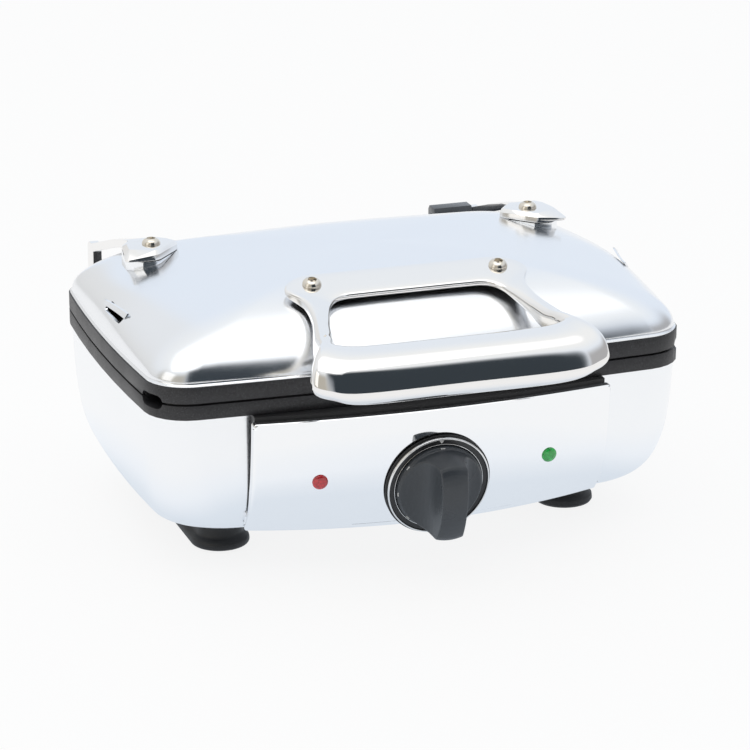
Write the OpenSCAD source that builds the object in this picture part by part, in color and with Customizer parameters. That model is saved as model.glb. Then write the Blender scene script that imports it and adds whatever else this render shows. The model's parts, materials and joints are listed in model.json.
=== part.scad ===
// Waffle maker with two waffle wells, a domed lid on rear hinge arms, a loop handle and a dial.
// Millimetres. +X to the right, +Y to the back, +Z up. The feet stand on z = 0.

/* [Cooking plates] */
// Width over the rims of the cast plates
rim_w = 310; // [290:1:330]
// Depth over the rims of the cast plates
rim_d = 211; // [200:1:225]
// How far the side edges of the rim bow outwards
side_bow = 5.3; // [3:0.1:8]
// How far the front and back edges of the rim bow outwards
front_bow = 5.4; // [3:0.1:8]
// Corner radius of the rim
rim_corner_r = 24.5; // [20:0.5:30]
// Height of the seam between the two plates above the table
seam_z = 101.6; // [99:0.2:106]
// Height of the lower plate's visible band
lower_band_h = 8.5; // [6:0.1:10]
// Height of the upper plate's visible band
upper_band_h = 9.3; // [6:0.1:11]
// Gap left at the seam, so that the plates just meet
seam_gap = 0.3; // [0.2:0.05:0.6]
// Width of the flat rim that closes on the other plate
rim_land = 9; // [7:0.5:11]
// Depth of the overflow channel round the waffle wells
moat_depth = 5; // [3:0.5:7]
// Distance between two studs of the waffle grid
stud_pitch = 26; // [24:0.5:27]
// Studs across one waffle
stud_columns = 5; // [3:1:5]
// Studs along one waffle
stud_rows = 6; // [4:1:6]
// Width of a stud at its foot
stud_foot = 17; // [14:0.5:19]
// Width of a stud at its top
stud_top = 13; // [9:0.5:13]
// Depth of the waffle well below the seam
well_depth = 15; // [13:0.5:18]
// How far the studs stop below the seam
stud_clear = 4; // [3:0.25:5]
// Width of the bar between the two waffles
well_divider = 10; // [6:0.5:14]
// Width of the low wall round the wells
well_wall = 4; // [3:0.5:5]
// Thickness of the casting under the wells
plate_floor = 3.5; // [3:0.25:5]
// Half width of the steam notch at the front corners
notch_half_w = 5; // [3:0.5:7]
// Radius of the steam notch
notch_r = 3.8; // [2:0.1:4]

/* [Heating] */
// Diameter of the sheathed heating element
heater_d = 6.6; // [6:0.1:8]
// Radius of the element's bends
heater_bend_r = 26; // [18:1:32]
// Distance of the element's loop from the edge of the well floor
heater_inset = 42; // [40:0.5:46]
// Radial clearance between the element and its groove
heater_clear = 0.05; // [0.02:0.01:0.1]
// Distance between the well floor's back and the heat shield
shield_gap = 9.5; // [8:0.5:12]
// Thickness of the heat shields and other light sheet
thin_sheet = 0.8; // [0.6:0.1:1.2]
// Half length of the heat shields
shield_half_x = 105; // [103:0.5:106]
// Half depth of the heat shields
shield_half_y = 54; // [52:0.5:56]

/* [Lid] */
// Height of the dome above the rim of the lid
dome_h = 37.2; // [32:0.2:42]
// Roundness of the dome towards its sides
dome_side_power = 1.4; // [1.3:0.05:2.5]
// Steepness of the dome at its sides
dome_side_drop = 0.314; // [0.3:0.01:0.5]
// Roundness of the dome towards its front and back
dome_front_power = 3.14; // [2:0.05:4]
// Slope of the dome at its front and back
dome_front_drop = 0.833; // [0.6:0.01:0.95]
// Step of the lid's edge in from the plate's band
lid_step = 1.75; // [1:0.05:2.5]
// Height of the lid's rolled edge
lid_edge_h = 2.1; // [1.6:0.1:3]
// Thickness of the pressed steel
sheet = 1.2; // [1:0.1:1.6]

/* [Body] */
// Height of the body's lower edge above the table
body_bottom_z = 21.8; // [20:0.2:26]
// How far the sides of the body tuck in at the bottom
side_tuck = 25.9; // [20:0.1:32]
// How far the front and back of the body tuck in at the bottom
front_tuck = 27; // [22:0.1:30]
// Squareness of the rounded lower edge
tuck_power = 3.1; // [2.2:0.1:4]
// Corner radius of the body at the bottom
body_bottom_r = 38; // [30:1:44]
// Step of the body in from the plate's band
body_step = 1.5; // [1:0.1:2.5]
// Width of the flange that the plate stands on
seat_flange = 7.5; // [6:0.5:9]

/* [Control panel] */
// Half width of the control panel
panel_half_w = 101.4; // [92:0.2:106]
// Height of the panel's top edge
panel_top_z = 90.5; // [88:0.1:91.5]
// Height of the panel's bottom edge
panel_bottom_z = 23.5; // [22:0.1:27]
// Distance of the panel's front from the middle of the body
panel_reach = 119.6; // [117:0.1:123]
// Bow of the panel over its width
panel_bow = 8.2; // [6:0.1:10]
// Backward lean of the panel's lower edge
panel_lean = 9.6; // [7:0.1:12]
// Extra lean of the panel's lower corners
corner_lean = 10; // [6:0.1:12]
// Depth of the panel's turned edges
panel_return = 4.6; // [3.5:0.1:6]
// Height of the dial's centre
dial_z = 46.9; // [44:0.1:52]
// Downward tilt of the dial
dial_tilt = 10; // [6:0.5:12]
// Radius of the dial's bezel
bezel_r = 29.8; // [27:0.1:31]
// Radius of the knob
knob_r = 24.3; // [21:0.1:25]
// Gap between the knob and the rings round it
knob_gap = 0.5; // [0.4:0.1:1]
// Height of the knob's crowned front above the panel
grip_h = 29.5; // [24:0.5:31]
// Width of the knob's grip
grip_w = 15; // [12:0.5:17]
// Distance of each lamp from the dial's centre
lamp_x = 65.3; // [60:0.1:72]
// Height of the lamps
lamp_z = 54.6; // [50:0.2:60]
// Radius of a lamp's lens
lamp_r = 4.25; // [3.6:0.05:5]

/* [Handle] */
// Distance between the handle's two screws
handle_screw_span = 106.6; // [100:0.2:110]
// Distance of the handle's screws in front of the middle
handle_screw_y = 62.8; // [60:0.2:66]
// Rise of the handle's flange above the lid at its screws
flange_rise = 5.6; // [5.5:0.1:6.2]
// Thickness of the handle's flange
flange_t = 3.8; // [3.4:0.1:4]
// Slope of the whole handle, down towards the grip bar, in degrees
handle_tilt = 15; // [14:0.5:16]
// Distance of the grip bar's centre in front of the middle
bar_y = 147; // [142:0.5:152]
// Depth of the grip bar's section
bar_w = 31; // [26:0.5:33]
// Height of the grip bar's section
bar_t = 27; // [22:0.5:28]
// Half width over the grip bar's ends
bar_half_w = 83; // [78:0.5:88]

/* [Hinge] */
// Distance of each hinge-arm screw from the middle
arm_screw_x = 112.7; // [108:0.1:114]
// Distance of the hinge-arm screws behind the middle
arm_screw_y = 45; // [42:0.2:48]
// Rise of the arm's boss above the lid at its screw
arm_rise = 8.3; // [8:0.1:10]
// Thickness of the arm's boss
arm_t = 5; // [4:0.1:5.6]
// Dark joint between the arm and its seat
arm_joint = 0.6; // [0.3:0.05:0.8]
// Distance of the hinge axis behind the middle
pivot_y = 150; // [146:0.5:156]
// Height of the hinge axis
pivot_z = 92; // [90:0.5:93.5]
// Distance of the arm's leg from the middle
leg_x = 118.8; // [117:0.1:119.5]
// Thickness of the arm's leg
leg_t = 5.3; // [5.3:0.1:6.5]
// Height of the arm's elbow
elbow_z = 118.5; // [117:0.1:121]
// Radius of the hinge pins
pin_r = 3; // [2.5:0.1:3.5]
// Radial clearance of pins and shafts that turn
run_fit = 0.05; // [0.02:0.01:0.1]
// Radius of the eyes round the hinge pins
eye_r = 7.5; // [6.5:0.1:8]

/* [Feet] */
// Distance of each foot's middle from the side of the rim
foot_inset = 53.5; // [51:0.5:59]
// Width of a foot at the table
foot_w = 33; // [28:0.5:36]
// Distance of the feet's front ends in front of the middle
foot_front = 61; // [58:0.5:66]
// Distance of the feet's rear ends behind the middle
foot_rear = 76; // [66:0.5:80]
// Height of the foot's lip
foot_lip_h = 6; // [4:0.5:8]
// How much narrower the foot is above its lip
foot_waist = 3.5; // [2:0.25:5]

/* [Fasteners] */
// Radius of the shank of the handle and arm screws
screw_r = 3; // [2.5:0.1:3.2]
// Radius of the head of the handle and arm screws
head_r = 5.2; // [4.8:0.1:5.6]
// Height of the head of the handle and arm screws
head_h = 3.4; // [2.8:0.1:3.8]
// Radius of the small screws
small_screw_r = 1.5; // [1.3:0.05:1.7]
// Clearance round a screw in its hole
screw_clear = 0.2; // [0.1:0.05:0.3]

/* [Hidden] */
$fn = 48;

rim_a = rim_w / 2;
rim_b = rim_d / 2;
lower_band_z = seam_z - lower_band_h;
upper_band_z = seam_z + upper_band_h;
foot_x = rim_a - foot_inset;
rear_reach = pivot_y + eye_r;
front_reach = bar_y + bar_w / 2;
// Moves the model so that its outline is centred on the origin
centre_y = (front_reach - rear_reach) / 2;
eps = 0.01;

// ---------------------------------------------------------------- outlines

// Radius of an arc with the given half chord and rise
function arc_radius(half, rise) = (half * half + rise * rise) / (2 * rise);

// Centre of the corner arc that runs smoothly into both bowed edges
function corner_centre(a, b, ra, rb, r) =
    let (front = [0, rb - b])
    let (side = [a - ra, 0])
    let (gap = side - front)
    let (d = norm(gap))
    let (along = ((rb - r) ^ 2 - (ra - r) ^ 2 + d * d) / (2 * d))
    let (across = sqrt((rb - r) ^ 2 - along ^ 2))
    front + along * gap / d + across * [-gap[1], gap[0]] / d;

// Points on an arc, from angle t0 to angle t1
function arc_points(centre, r, t0, t1, n, last) =
    [for (i = [0 : last ? n : n - 1])
        let (t = t0 + (t1 - t0) * i / n)
        centre + r * [cos(t), sin(t)]];

// A quarter of the bowed rectangle, from the middle of the front to the middle of the right side
function quarter(a, b, side, front, r) =
    let (ra = arc_radius(b, side))
    let (rb = arc_radius(a, front))
    let (c = corner_centre(a, b, ra, rb, r))
    let (t1 = atan2(c[1] + b - rb, c[0]))
    let (t2 = atan2(c[1], c[0] - a + ra))
    concat(
        arc_points([0, rb - b], rb, -90, t1, 4, false),
        arc_points(c, r, t1, t2, 6, false),
        arc_points([a - ra, 0], ra, t2, 0, 3, true));

// The whole outline, anticlockwise from the middle of the front
function bowed(a, b, side, front, r) =
    let (q = quarter(a, b, side, front, r))
    let (n = len(q))
    concat(
        q,
        [for (i = [n - 2 : -1 : 0]) [q[i][0], -q[i][1]]],
        [for (i = [1 : n - 1]) [-q[i][0], -q[i][1]]],
        [for (i = [n - 2 : -1 : 1]) [-q[i][0], q[i][1]]]);

// The rim's outline, moved in by a distance
function rim_outline(inset) =
    bowed(rim_a - inset, rim_b - inset, side_bow, front_bow, max(rim_corner_r - inset, 4));

function at_height(outline, z) = [for (p = outline) [p[0], p[1], z]];

// ---------------------------------------------------------------- skins

// Two triangles between each pair of neighbouring points of two rings
function band_faces(n, low, high) =
    [for (i = [0 : n - 1]) each
        let (j = (i + 1) % n)
        [[low + i, high + i, high + j], [low + i, high + j, low + j]]];

function middle_of(ring) = [for (i = [0 : 2]) [for (p = ring) p[i]] * [for (p = ring) 1] / len(ring)];

// Closed solid through a stack of rings, each anticlockwise seen from above
module skin(rings) {
    n = len(rings[0]);
    k = len(rings);
    low = n * k;
    high = low + 1;
    polyhedron(
        points = concat([for (ring = rings) each ring], [middle_of(rings[0]), middle_of(rings[k - 1])]),
        faces = concat(
            [for (i = [0 : n - 1]) [low, i, (i + 1) % n]],
            [for (j = [0 : k - 2]) each band_faces(n, j * n, (j + 1) * n)],
            [for (i = [0 : n - 1]) [high, (k - 1) * n + (i + 1) % n, (k - 1) * n + i]]));
}

// Closed solid through rings that come back to the first one, with a hole through the middle
module ring_skin(rings) {
    n = len(rings[0]);
    k = len(rings);
    polyhedron(
        points = [for (ring = rings) each ring],
        faces = [for (j = [0 : k - 1]) each band_faces(n, j * n, ((j + 1) % k) * n)]);
}

// Upright prism of an outline
module prism(outline, z0, z1) {
    translate([0, 0, z0])
        linear_extrude(z1 - z0)
            polygon(outline);
}

// Solid between two surfaces y = front(x, z) and y = back(x, z)
module between(x0, x1, z0, z1, front, back, nx = 16, nz = 8) {
    function x_at(i) = x0 + (x1 - x0) * i / nx;
    function z_at(j) = z0 + (z1 - z0) * j / nz;
    row = nx + 1;
    count = row * (nz + 1);
    points = concat(
        [for (j = [0 : nz], i = [0 : nx]) [x_at(i), front(x_at(i), z_at(j)), z_at(j)]],
        [for (j = [0 : nz], i = [0 : nx]) [x_at(i), back(x_at(i), z_at(j)), z_at(j)]]);
    function at(i, j, s) = s * count + j * row + i;
    function quad(a, b, c, d) = [[a, b, c], [a, c, d]];
    polyhedron(
        points = points,
        faces = concat(
            [for (j = [0 : nz - 1], i = [0 : nx - 1]) each
                quad(at(i, j, 0), at(i, j + 1, 0), at(i + 1, j + 1, 0), at(i + 1, j, 0))],
            [for (j = [0 : nz - 1], i = [0 : nx - 1]) each
                quad(at(i, j, 1), at(i + 1, j, 1), at(i + 1, j + 1, 1), at(i, j + 1, 1))],
            [for (i = [0 : nx - 1]) each
                quad(at(i, 0, 0), at(i + 1, 0, 0), at(i + 1, 0, 1), at(i, 0, 1))],
            [for (i = [0 : nx - 1]) each
                quad(at(i, nz, 0), at(i, nz, 1), at(i + 1, nz, 1), at(i + 1, nz, 0))],
            [for (j = [0 : nz - 1]) each
                quad(at(0, j, 0), at(0, j, 1), at(0, j + 1, 1), at(0, j + 1, 0))],
            [for (j = [0 : nz - 1]) each
                quad(at(nx, j, 0), at(nx, j + 1, 0), at(nx, j + 1, 1), at(nx, j, 1))]));
}

// Moves a sub-part from the plates' frame to the model's frame
module placed() {
    translate([0, centre_y, 0])
        children();
}

module both_sides() {
    children();
    mirror([1, 0, 0])
        children();
}

// ---------------------------------------------------------------- form of the lid

lid_base_z = upper_band_z + 0.02;
lid_dome_z = lid_base_z + lid_edge_h;

// Height of the dome, on the ring that is scaled by s, towards the point (x, y)
function dome_z(x, y, s, drop) =
    let (u = (x / rim_a) ^ 2)
    let (v = (y / rim_b) ^ 2)
    let (side = u / (u + v))
    let (power = dome_side_power * side + dome_front_power * (1 - side))
    let (fall = dome_side_drop * side + dome_front_drop * (1 - side))
    lid_dome_z + (dome_h - drop) * (1 - s ^ power) ^ fall;

function dome_ring(s, inset) =
    [for (p = rim_outline(lid_step + inset)) [p[0] * s, p[1] * s, dome_z(p[0], p[1], s, inset)]];

// Height of the lid at a place that is neither on its long nor on its short middle line
function lid_z_at(x, y) =
    let (a = rim_a - lid_step)
    let (b = rim_b - lid_step)
    let (side_r = arc_radius(b, side_bow))
    let (front_r = arc_radius(a, front_bow))
    let (side_x = a - side_r + sqrt(side_r * side_r - (a * y / x) ^ 2))
    let (front_y = b - front_r + sqrt(front_r * front_r - (b * x / y) ^ 2))
    let (s = max(x / side_x, y / front_y))
    dome_z(x / s, y / s, s, 0);

arm_lid_z = lid_z_at(arm_screw_x, arm_screw_y);
arm_top_z = arm_lid_z + arm_rise;
flange_top_z = lid_z_at(handle_screw_span / 2, handle_screw_y) + flange_rise;

// ---------------------------------------------------------------- body shell

body_top_z = lower_band_z - eps;
body_h = body_top_z - body_bottom_z;

// Share of the tuck that is reached at a height
function tuck_at(z) =
    let (t = min(max((body_top_z - z) / body_h, 0), 1))
    1 - (1 - t ^ tuck_power) ^ (1 / tuck_power);

// Largest share of the height where the rings stop, so that the lower edge keeps a small flat
tuck_end = 0.995;

function body_a(z, inset) = rim_a - body_step - inset - side_tuck * tuck_at(z);
function body_b(z, inset) = rim_b - body_step - inset - front_tuck * tuck_at(z);
function body_r(z, inset) =
    let (t = (body_top_z - z) / body_h)
    rim_corner_r - body_step - inset + (body_bottom_r - rim_corner_r) * t;
function body_ring(z, inset) =
    at_height(bowed(body_a(z, inset), body_b(z, inset), side_bow, front_bow, body_r(z, inset)), z);

// Front surface of the body shell
function body_front(x, z) =
    let (r = arc_radius(body_a(z, 0), front_bow))
    r - body_b(z, 0) - sqrt(r * r - x * x);

// Heights of the rings, closer together where the shell curves
body_steps = [0, 0.3, 0.5, 0.65, 0.77, 0.86, 0.93, 0.97, tuck_end];
body_floor_z = body_top_z - body_h * tuck_end;

module body_outer() {
    skin([for (i = [len(body_steps) - 1 : -1 : 0]) body_ring(body_top_z - body_h * body_steps[i], 0)]);
}

module body_inner() {
    steps = [for (s = body_steps) if (body_top_z - body_h * s > body_floor_z + sheet + 1) s];
    skin(concat(
        [body_ring(body_floor_z + sheet, sheet)],
        [for (i = [len(steps) - 1 : -1 : 1]) body_ring(body_top_z - body_h * steps[i], sheet)],
        [body_ring(body_top_z - sheet, sheet)]));
}

liner_half_w = panel_half_w - 2;
liner_bottom_z = panel_bottom_z + 12.5;
window_half_w = liner_half_w - 4;
window_bottom_z = liner_bottom_z + 4;
window_top_z = lower_band_z - 6;
plate_screw_x = 62;
plate_screw_y = rim_b - 6.9;
gland_x = 88;
gland_z = 46;
gland_r = 6;

module base_housing() {
    color("gainsboro") placed() difference() {
        body_outer();
        body_inner();
        // Opening in the top, inside the flange that carries the plate
        prism(rim_outline(body_step + seat_flange), body_top_z - sheet - 1, body_top_z + 1);
        // Opening in the floor, covered from below
        prism(floor_outline(12), body_floor_z - 1, body_floor_z + sheet + 1);
        // Window behind the control panel
        translate([-window_half_w, -rim_b - 5, window_bottom_z])
            cube([2 * window_half_w, 30, window_top_z - window_bottom_z]);
        for (x = [-plate_screw_x, plate_screw_x], y = [-1, 1])
            translate([x, y * plate_screw_y, body_top_z - 5])
                cylinder(r = small_screw_r + screw_clear, h = 10);
        cover_screw_places()
            translate([0, 0, -5])
                cylinder(r = small_screw_r + screw_clear, h = 10);
        translate([gland_x, rim_b, gland_z])
            rotate([90, 0, 0])
                cylinder(r = gland_r + screw_clear, h = 20, center = true);
        both_sides()
            bracket_screw_places()
                translate([0, 0, -12])
                    cylinder(r = small_screw_r + screw_clear, h = 24);
    }
}

// ---------------------------------------------------------------- bottom cover

cover_t = 1;
cover_top_z = body_floor_z - 0.05;
cover_bottom_z = cover_top_z - cover_t;
cover_screw_x = 37;
cover_screw_y = body_b(body_floor_z, 9);

function floor_outline(inset) =
    bowed(body_a(body_floor_z, inset), body_b(body_floor_z, inset), side_bow, front_bow,
        max(body_r(body_floor_z, inset), 4));

module cover_screw_places() {
    for (x = [-1, 1], y = [-1, 1])
        translate([x * cover_screw_x, y * cover_screw_y, body_floor_z])
            children();
}

module bottom_cover() {
    color("silver") placed() difference() {
        prism(floor_outline(5), cover_bottom_z, cover_top_z);
        // Cooling slots in two rows
        for (row = [-1, 1], i = [-4 : 4])
            translate([i * 14 - 2, row * 26 - 11, cover_bottom_z - 1])
                cube([4, 22, cover_t + 2]);
        cover_screw_places()
            translate([0, 0, -5])
                cylinder(r = small_screw_r + screw_clear, h = 10);
        foot_screw_places()
            translate([0, 0, cover_bottom_z - 1])
                cylinder(r = small_screw_r + screw_clear, h = 4);
    }
}

// Pan-head screw. The shank runs up from z = 0 and the head sits on its end
module pan_screw(r, length, head = 1.9) {
    cylinder(r = r, h = length + eps);
    translate([0, 0, length])
        rotate_extrude()
            polygon([[0, 0], [r * head, 0], [r * head, r * 0.6], [r * head * 0.7, r * 1.1], [0, r * 1.1]]);
}

module bottom_screws() {
    color("dimgray") placed()
        cover_screw_places()
            translate([0, 0, sheet + 1.5])
                mirror([0, 0, 1])
                    pan_screw(small_screw_r, sheet + 1.5 + body_floor_z - cover_bottom_z + 0.05);
}

// ---------------------------------------------------------------- control panel

// Lean of the panel's face at a height
lean_power = 1.475;
corner_lean_z = 60;
function panel_front(x, z) =
    let (u = (x / panel_half_w) ^ 2)
    let (down = max(panel_top_z - z, 0) / (panel_top_z - panel_bottom_z))
    let (low = max(corner_lean_z - z, 0) / (corner_lean_z - panel_bottom_z))
    panel_bow * u - panel_reach + panel_lean * down ^ lean_power + corner_lean * u * low * low;

// Stands something on the panel's face, with its Z axis pointing straight out of it
module on_panel(x, z) {
    step = 0.5;
    dx = (panel_front(x + step, z) - panel_front(x - step, z)) / (2 * step);
    dz = (panel_front(x, z + step) - panel_front(x, z - step)) / (2 * step);
    translate([x, panel_front(x, z), z])
        rotate([0, 0, atan(dx)])
            rotate([90 + atan(-dz * cos(atan(dx))), 0, 0])
                children();
}

module on_dial() {
    translate([0, panel_front(0, dial_z), dial_z])
        rotate([90 + dial_tilt, 0, 0])
            children();
}

// Rear edge of the panel's rolled sides, always clear of the body shell
function panel_edge(x, z) = min(panel_front(x, z) + panel_return, body_front(x, z) - 1.8);

panel_t = 1.2;
bush_r = 5;
lamp_hole_r = lamp_r - 0.8;

module control_panel() {
    front = function(x, z) panel_front(x, z);
    edge = function(x, z) panel_edge(x, z);
    inner = function(x, z) panel_front(x, z) + panel_t;
    behind = function(x, z) panel_front(x, z) + panel_return + 3;
    color("whitesmoke") placed() difference() {
        between(-panel_half_w, panel_half_w, panel_bottom_z, panel_top_z, front, edge, 20, 9);
        between(panel_t - panel_half_w, panel_half_w - panel_t, panel_bottom_z - 2, panel_top_z - panel_t,
            inner, behind, 20, 9);
        on_dial()
            cylinder(r = bush_r + screw_clear, h = 20, center = true);
        for (x = [-lamp_x, lamp_x])
            on_panel(x, lamp_z)
                cylinder(r = lamp_hole_r + screw_clear, h = 12, center = true);
    }
}

liner_gap = 0.2;
liner_edge_gap = 0.6;
liner_t = 2.2;
pad_r = 11;
// Keeps the liner's rear faces in front of the shell's curve
wall_step = 1;
liner_top_z = lower_band_z - 0.3;

module panel_liner() {
    face = function(x, z) panel_front(x, z) + panel_t + liner_gap;
    face_back = function(x, z) panel_front(x, z) + panel_t + liner_gap + liner_t;
    edge = function(x, z) panel_edge(x, z) + liner_edge_gap;
    edge_in = function(x, z) panel_edge(x, z) + liner_edge_gap + 0.4;
    wall = function(x, z) body_front(x, z + wall_step) - liner_gap;
    deep = function(x, z) body_front(x, z) + 4;
    in_w = panel_half_w - panel_t;
    frame = 4.5;
    color("#151515") placed() difference() {
        union() {
            // Front part, inside the panel's rolled edges
            intersection() {
                between(-in_w, in_w, panel_bottom_z - 2, panel_top_z - panel_t, face, edge_in, 20, 9);
                translate([liner_gap - in_w, -rim_b - 30, liner_bottom_z])
                    cube([2 * (in_w - liner_gap), 60, panel_top_z - panel_t - liner_gap - liner_bottom_z]);
            }
            between(-liner_half_w, liner_half_w, liner_bottom_z, liner_top_z, edge, wall, 20, 9);
            // Flat pad for the thermostat's bracket
            on_dial()
                translate([0, 0, -liner_back + 0.02])
                    cylinder(r = pad_r, h = liner_back - panel_t - liner_gap - 1.2);
        }
        difference() {
            between(frame - liner_half_w, liner_half_w - frame, window_bottom_z, window_top_z,
                face_back, deep, 12, 4);
            on_dial()
                translate([0, 0, -liner_back + 0.02])
                    cylinder(r = pad_r, h = liner_back);
        }
        on_dial()
            cylinder(r = bush_r + screw_clear, h = 40, center = true);
        for (x = [-lamp_x, lamp_x])
            on_panel(x, lamp_z)
                cylinder(r = lamp_hole_r + screw_clear, h = 40, center = true);
    }
}

// ---------------------------------------------------------------- dial

bezel_h = 3;
bezel_lip = 1.1;
bezel_floor = 0.8;
plate_in_r = knob_r + knob_gap + 0.5;
bezel_step = 0.9;
bezel_foot_h = 0.8;
ring_r = bezel_r - bezel_step;
plate_out_r = ring_r - bezel_lip - 0.1;
dial_lift = 0.15;

module dial_bezel() {
    color("silver") placed() on_dial() translate([0, 0, dial_lift]) rotate_extrude($fn = 96)
        polygon([
            [bush_r + screw_clear, 0],
            [bezel_r - 0.2, 0],
            [bezel_r, 0.2],
            [bezel_r, bezel_foot_h - 0.2],
            [bezel_r - 0.2, bezel_foot_h],
            [ring_r, bezel_foot_h],
            [ring_r, bezel_h - 0.5],
            [ring_r - 0.4, bezel_h],
            [ring_r - bezel_lip + 0.2, bezel_h],
            [ring_r - bezel_lip, bezel_h - 0.2],
            [ring_r - bezel_lip, bezel_floor],
            [plate_in_r - 0.1, bezel_floor],
            [plate_in_r - 0.1, bezel_h - 0.7],
            [plate_in_r - 0.2, bezel_h - 0.6],
            [knob_r + knob_gap, bezel_h - 0.6],
            [knob_r + knob_gap, bezel_floor],
            [bush_r + screw_clear, bezel_floor]]);
}

module dial_plate() {
    plate_h = bezel_h - 0.9;
    color("#3a3d42") placed() on_dial() translate([0, 0, dial_lift]) {
        rotate_extrude($fn = 96)
            translate([plate_in_r, bezel_floor + 0.02])
                square([plate_out_r - plate_in_r, plate_h - bezel_floor]);
    }
}

shaft_r = 3;
shaft_seat_z = 14;
knob_back = bezel_floor + dial_lift + 0.4;
skirt_h = 5;
wall_r = knob_r - 1.1;
wall_h = grip_h - 5.6;

// Section of one scoop beside the grip: distance from the knob's middle, height above the panel
scoop_section = [
    [grip_w / 2 - 0.7, grip_h + 2],
    [grip_w / 2 - 0.3, grip_h - 1],
    [grip_w / 2, grip_h - 5],
    [grip_w / 2 + 0.5, grip_h - 10],
    [grip_w / 2 + 1.5, grip_h - 14.5],
    [grip_w / 2 + 3.1, grip_h - 18],
    [grip_w / 2 + 5.3, grip_h - 20.4],
    [grip_w / 2 + 8.3, grip_h - 22],
    [grip_w / 2 + 12.5, grip_h - 23],
    [knob_r + 6, grip_h - 23.6],
    [knob_r + 6, grip_h + 2]];

// Knob with a crowned front, hollowed at both sides so that a grip stands between the hollows
module dial_knob() {
    color("#4b5058") placed() on_dial() difference() {
        translate([0, 0, knob_back])
            rotate_extrude($fn = 96)
                polygon([
                    [0, 0],
                    [knob_r - 0.3, 0],
                    [knob_r, 0.3],
                    [knob_r, skirt_h - knob_back - 1],
                    [knob_r - 0.3, skirt_h - knob_back - 0.3],
                    [wall_r + 0.5, skirt_h - knob_back],
                    [wall_r, skirt_h - knob_back + 0.6],
                    [wall_r - 0.6, wall_h - knob_back - 1.6],
                    [wall_r - 1, wall_h - knob_back - 0.5],
                    [wall_r - 1.8, wall_h - knob_back + 0.3],
                    [wall_r * 0.78, grip_h - knob_back - 3],
                    [wall_r * 0.52, grip_h - knob_back - 1.2],
                    [wall_r * 0.26, grip_h - knob_back - 0.25],
                    [0, grip_h - knob_back]]);
        for (side = [-1, 1])
            scale([side, 1, 1])
                rotate([90, 0, 0])
                    linear_extrude(4 * knob_r, center = true)
                        polygon(scoop_section);
        translate([0, 0, -eps])
            cylinder(r = shaft_r + 0.02, h = shaft_seat_z + eps);
        // Hollow back of the disc round the hub
        translate([0, 0, knob_back - eps])
            rotate_extrude($fn = 96)
                translate([shaft_r + 3, 0])
                    square([knob_r - shaft_r - 5.5, 2.6]);
    }
}

// Depths behind the panel's face, along the dial's axis
liner_back = panel_t + liner_gap + liner_t + 2;
bracket_t = 1.5;
case_depth = 13;
case_half_x = 15;
case_half_y = 8;

module thermostat_shaft() {
    flat = 0.6;
    color("silver") placed() on_dial() difference() {
        translate([0, 0, -liner_back - bracket_t - 8])
            cylinder(r = shaft_r, h = liner_back + bracket_t + 8 + shaft_seat_z - 0.3);
        // Flat that turns with the knob
        translate([-shaft_r, shaft_r - flat, knob_back + 4])
            cube([2 * shaft_r, 2, shaft_seat_z]);
    }
}

module thermostat_body() {
    color("#d9cfae") placed() on_dial() difference() {
        union() {
            // Threaded bush that comes through the bracket
            translate([0, 0, -liner_back - bracket_t])
                cylinder(r = bush_r, h = liner_back + bracket_t - 0.3);
            translate([-case_half_x, -case_half_y, -liner_back - bracket_t - 0.02 - case_depth])
                cube([2 * case_half_x, 2 * case_half_y, case_depth + 0.02]);
            // Tab terminals
            for (x = [-8, 8])
                translate([x - 3, -0.4, -liner_back - bracket_t - case_depth - 8])
                    cube([6, 0.8, 9]);
        }
        translate([0, 0, -liner_back - bracket_t - 8.4])
            cylinder(r = shaft_r + run_fit, h = 40);
    }
}

bracket_half_w = 26;
bracket_half_h = 8;

module thermostat_bracket() {
    color("silver") placed() on_dial() difference() {
        translate([-bracket_half_w, -bracket_half_h, -liner_back - bracket_t])
            cube([2 * bracket_half_w, 2 * bracket_half_h, bracket_t]);
        translate([0, 0, -liner_back - bracket_t - 1])
            cylinder(r = bush_r + screw_clear, h = bracket_t + 2);
    }
}

// ---------------------------------------------------------------- lamps

lens_body_h = 12;
holder_r = 6;

module lamp_lens() {
    translate([0, 0, 0.1])
        rotate_extrude()
            polygon([
                [0, 0],
                [lamp_r, 0],
                [lamp_r, 0.5],
                [lamp_r * 0.92, 0.9],
                [lamp_r * 0.7, 1.3],
                [lamp_r * 0.4, 1.55],
                [0, 1.65]]);
    translate([0, 0, -lens_body_h])
        cylinder(r = lamp_hole_r, h = lens_body_h + 0.2);
}

module power_lamp_lens() {
    color("red") placed() on_panel(-lamp_x, lamp_z)
        lamp_lens();
}

module ready_lamp_lens() {
    color("limegreen") placed() on_panel(lamp_x, lamp_z)
        lamp_lens();
}

module lamp_holders() {
    color("#222222") placed() for (x = [-lamp_x, lamp_x])
        on_panel(x, lamp_z)
            translate([0, 0, -lens_body_h - 4])
                difference() {
                    cylinder(r = holder_r, h = lens_body_h + 4 - liner_back - 0.1);
                    translate([0, 0, 3.9])
                        cylinder(r = lamp_hole_r + 0.05, h = lens_body_h + 4);
                }
}

// ---------------------------------------------------------------- cooking plates

well_w = stud_columns * stud_pitch;
well_l = stud_rows * stud_pitch;
well_x = (well_w + well_divider) / 2;
block_half_x = well_x + well_w / 2 + well_wall;
block_half_y = well_l / 2 + well_wall;
skirt_inset = 12;
plate_back = -well_depth - plate_floor;
boss_x = 78;
boss_y = 25;
boss_r = 4.5;
wall_clear = 1;
relief_roof = 3.5;
skirt_t = 3;

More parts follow.
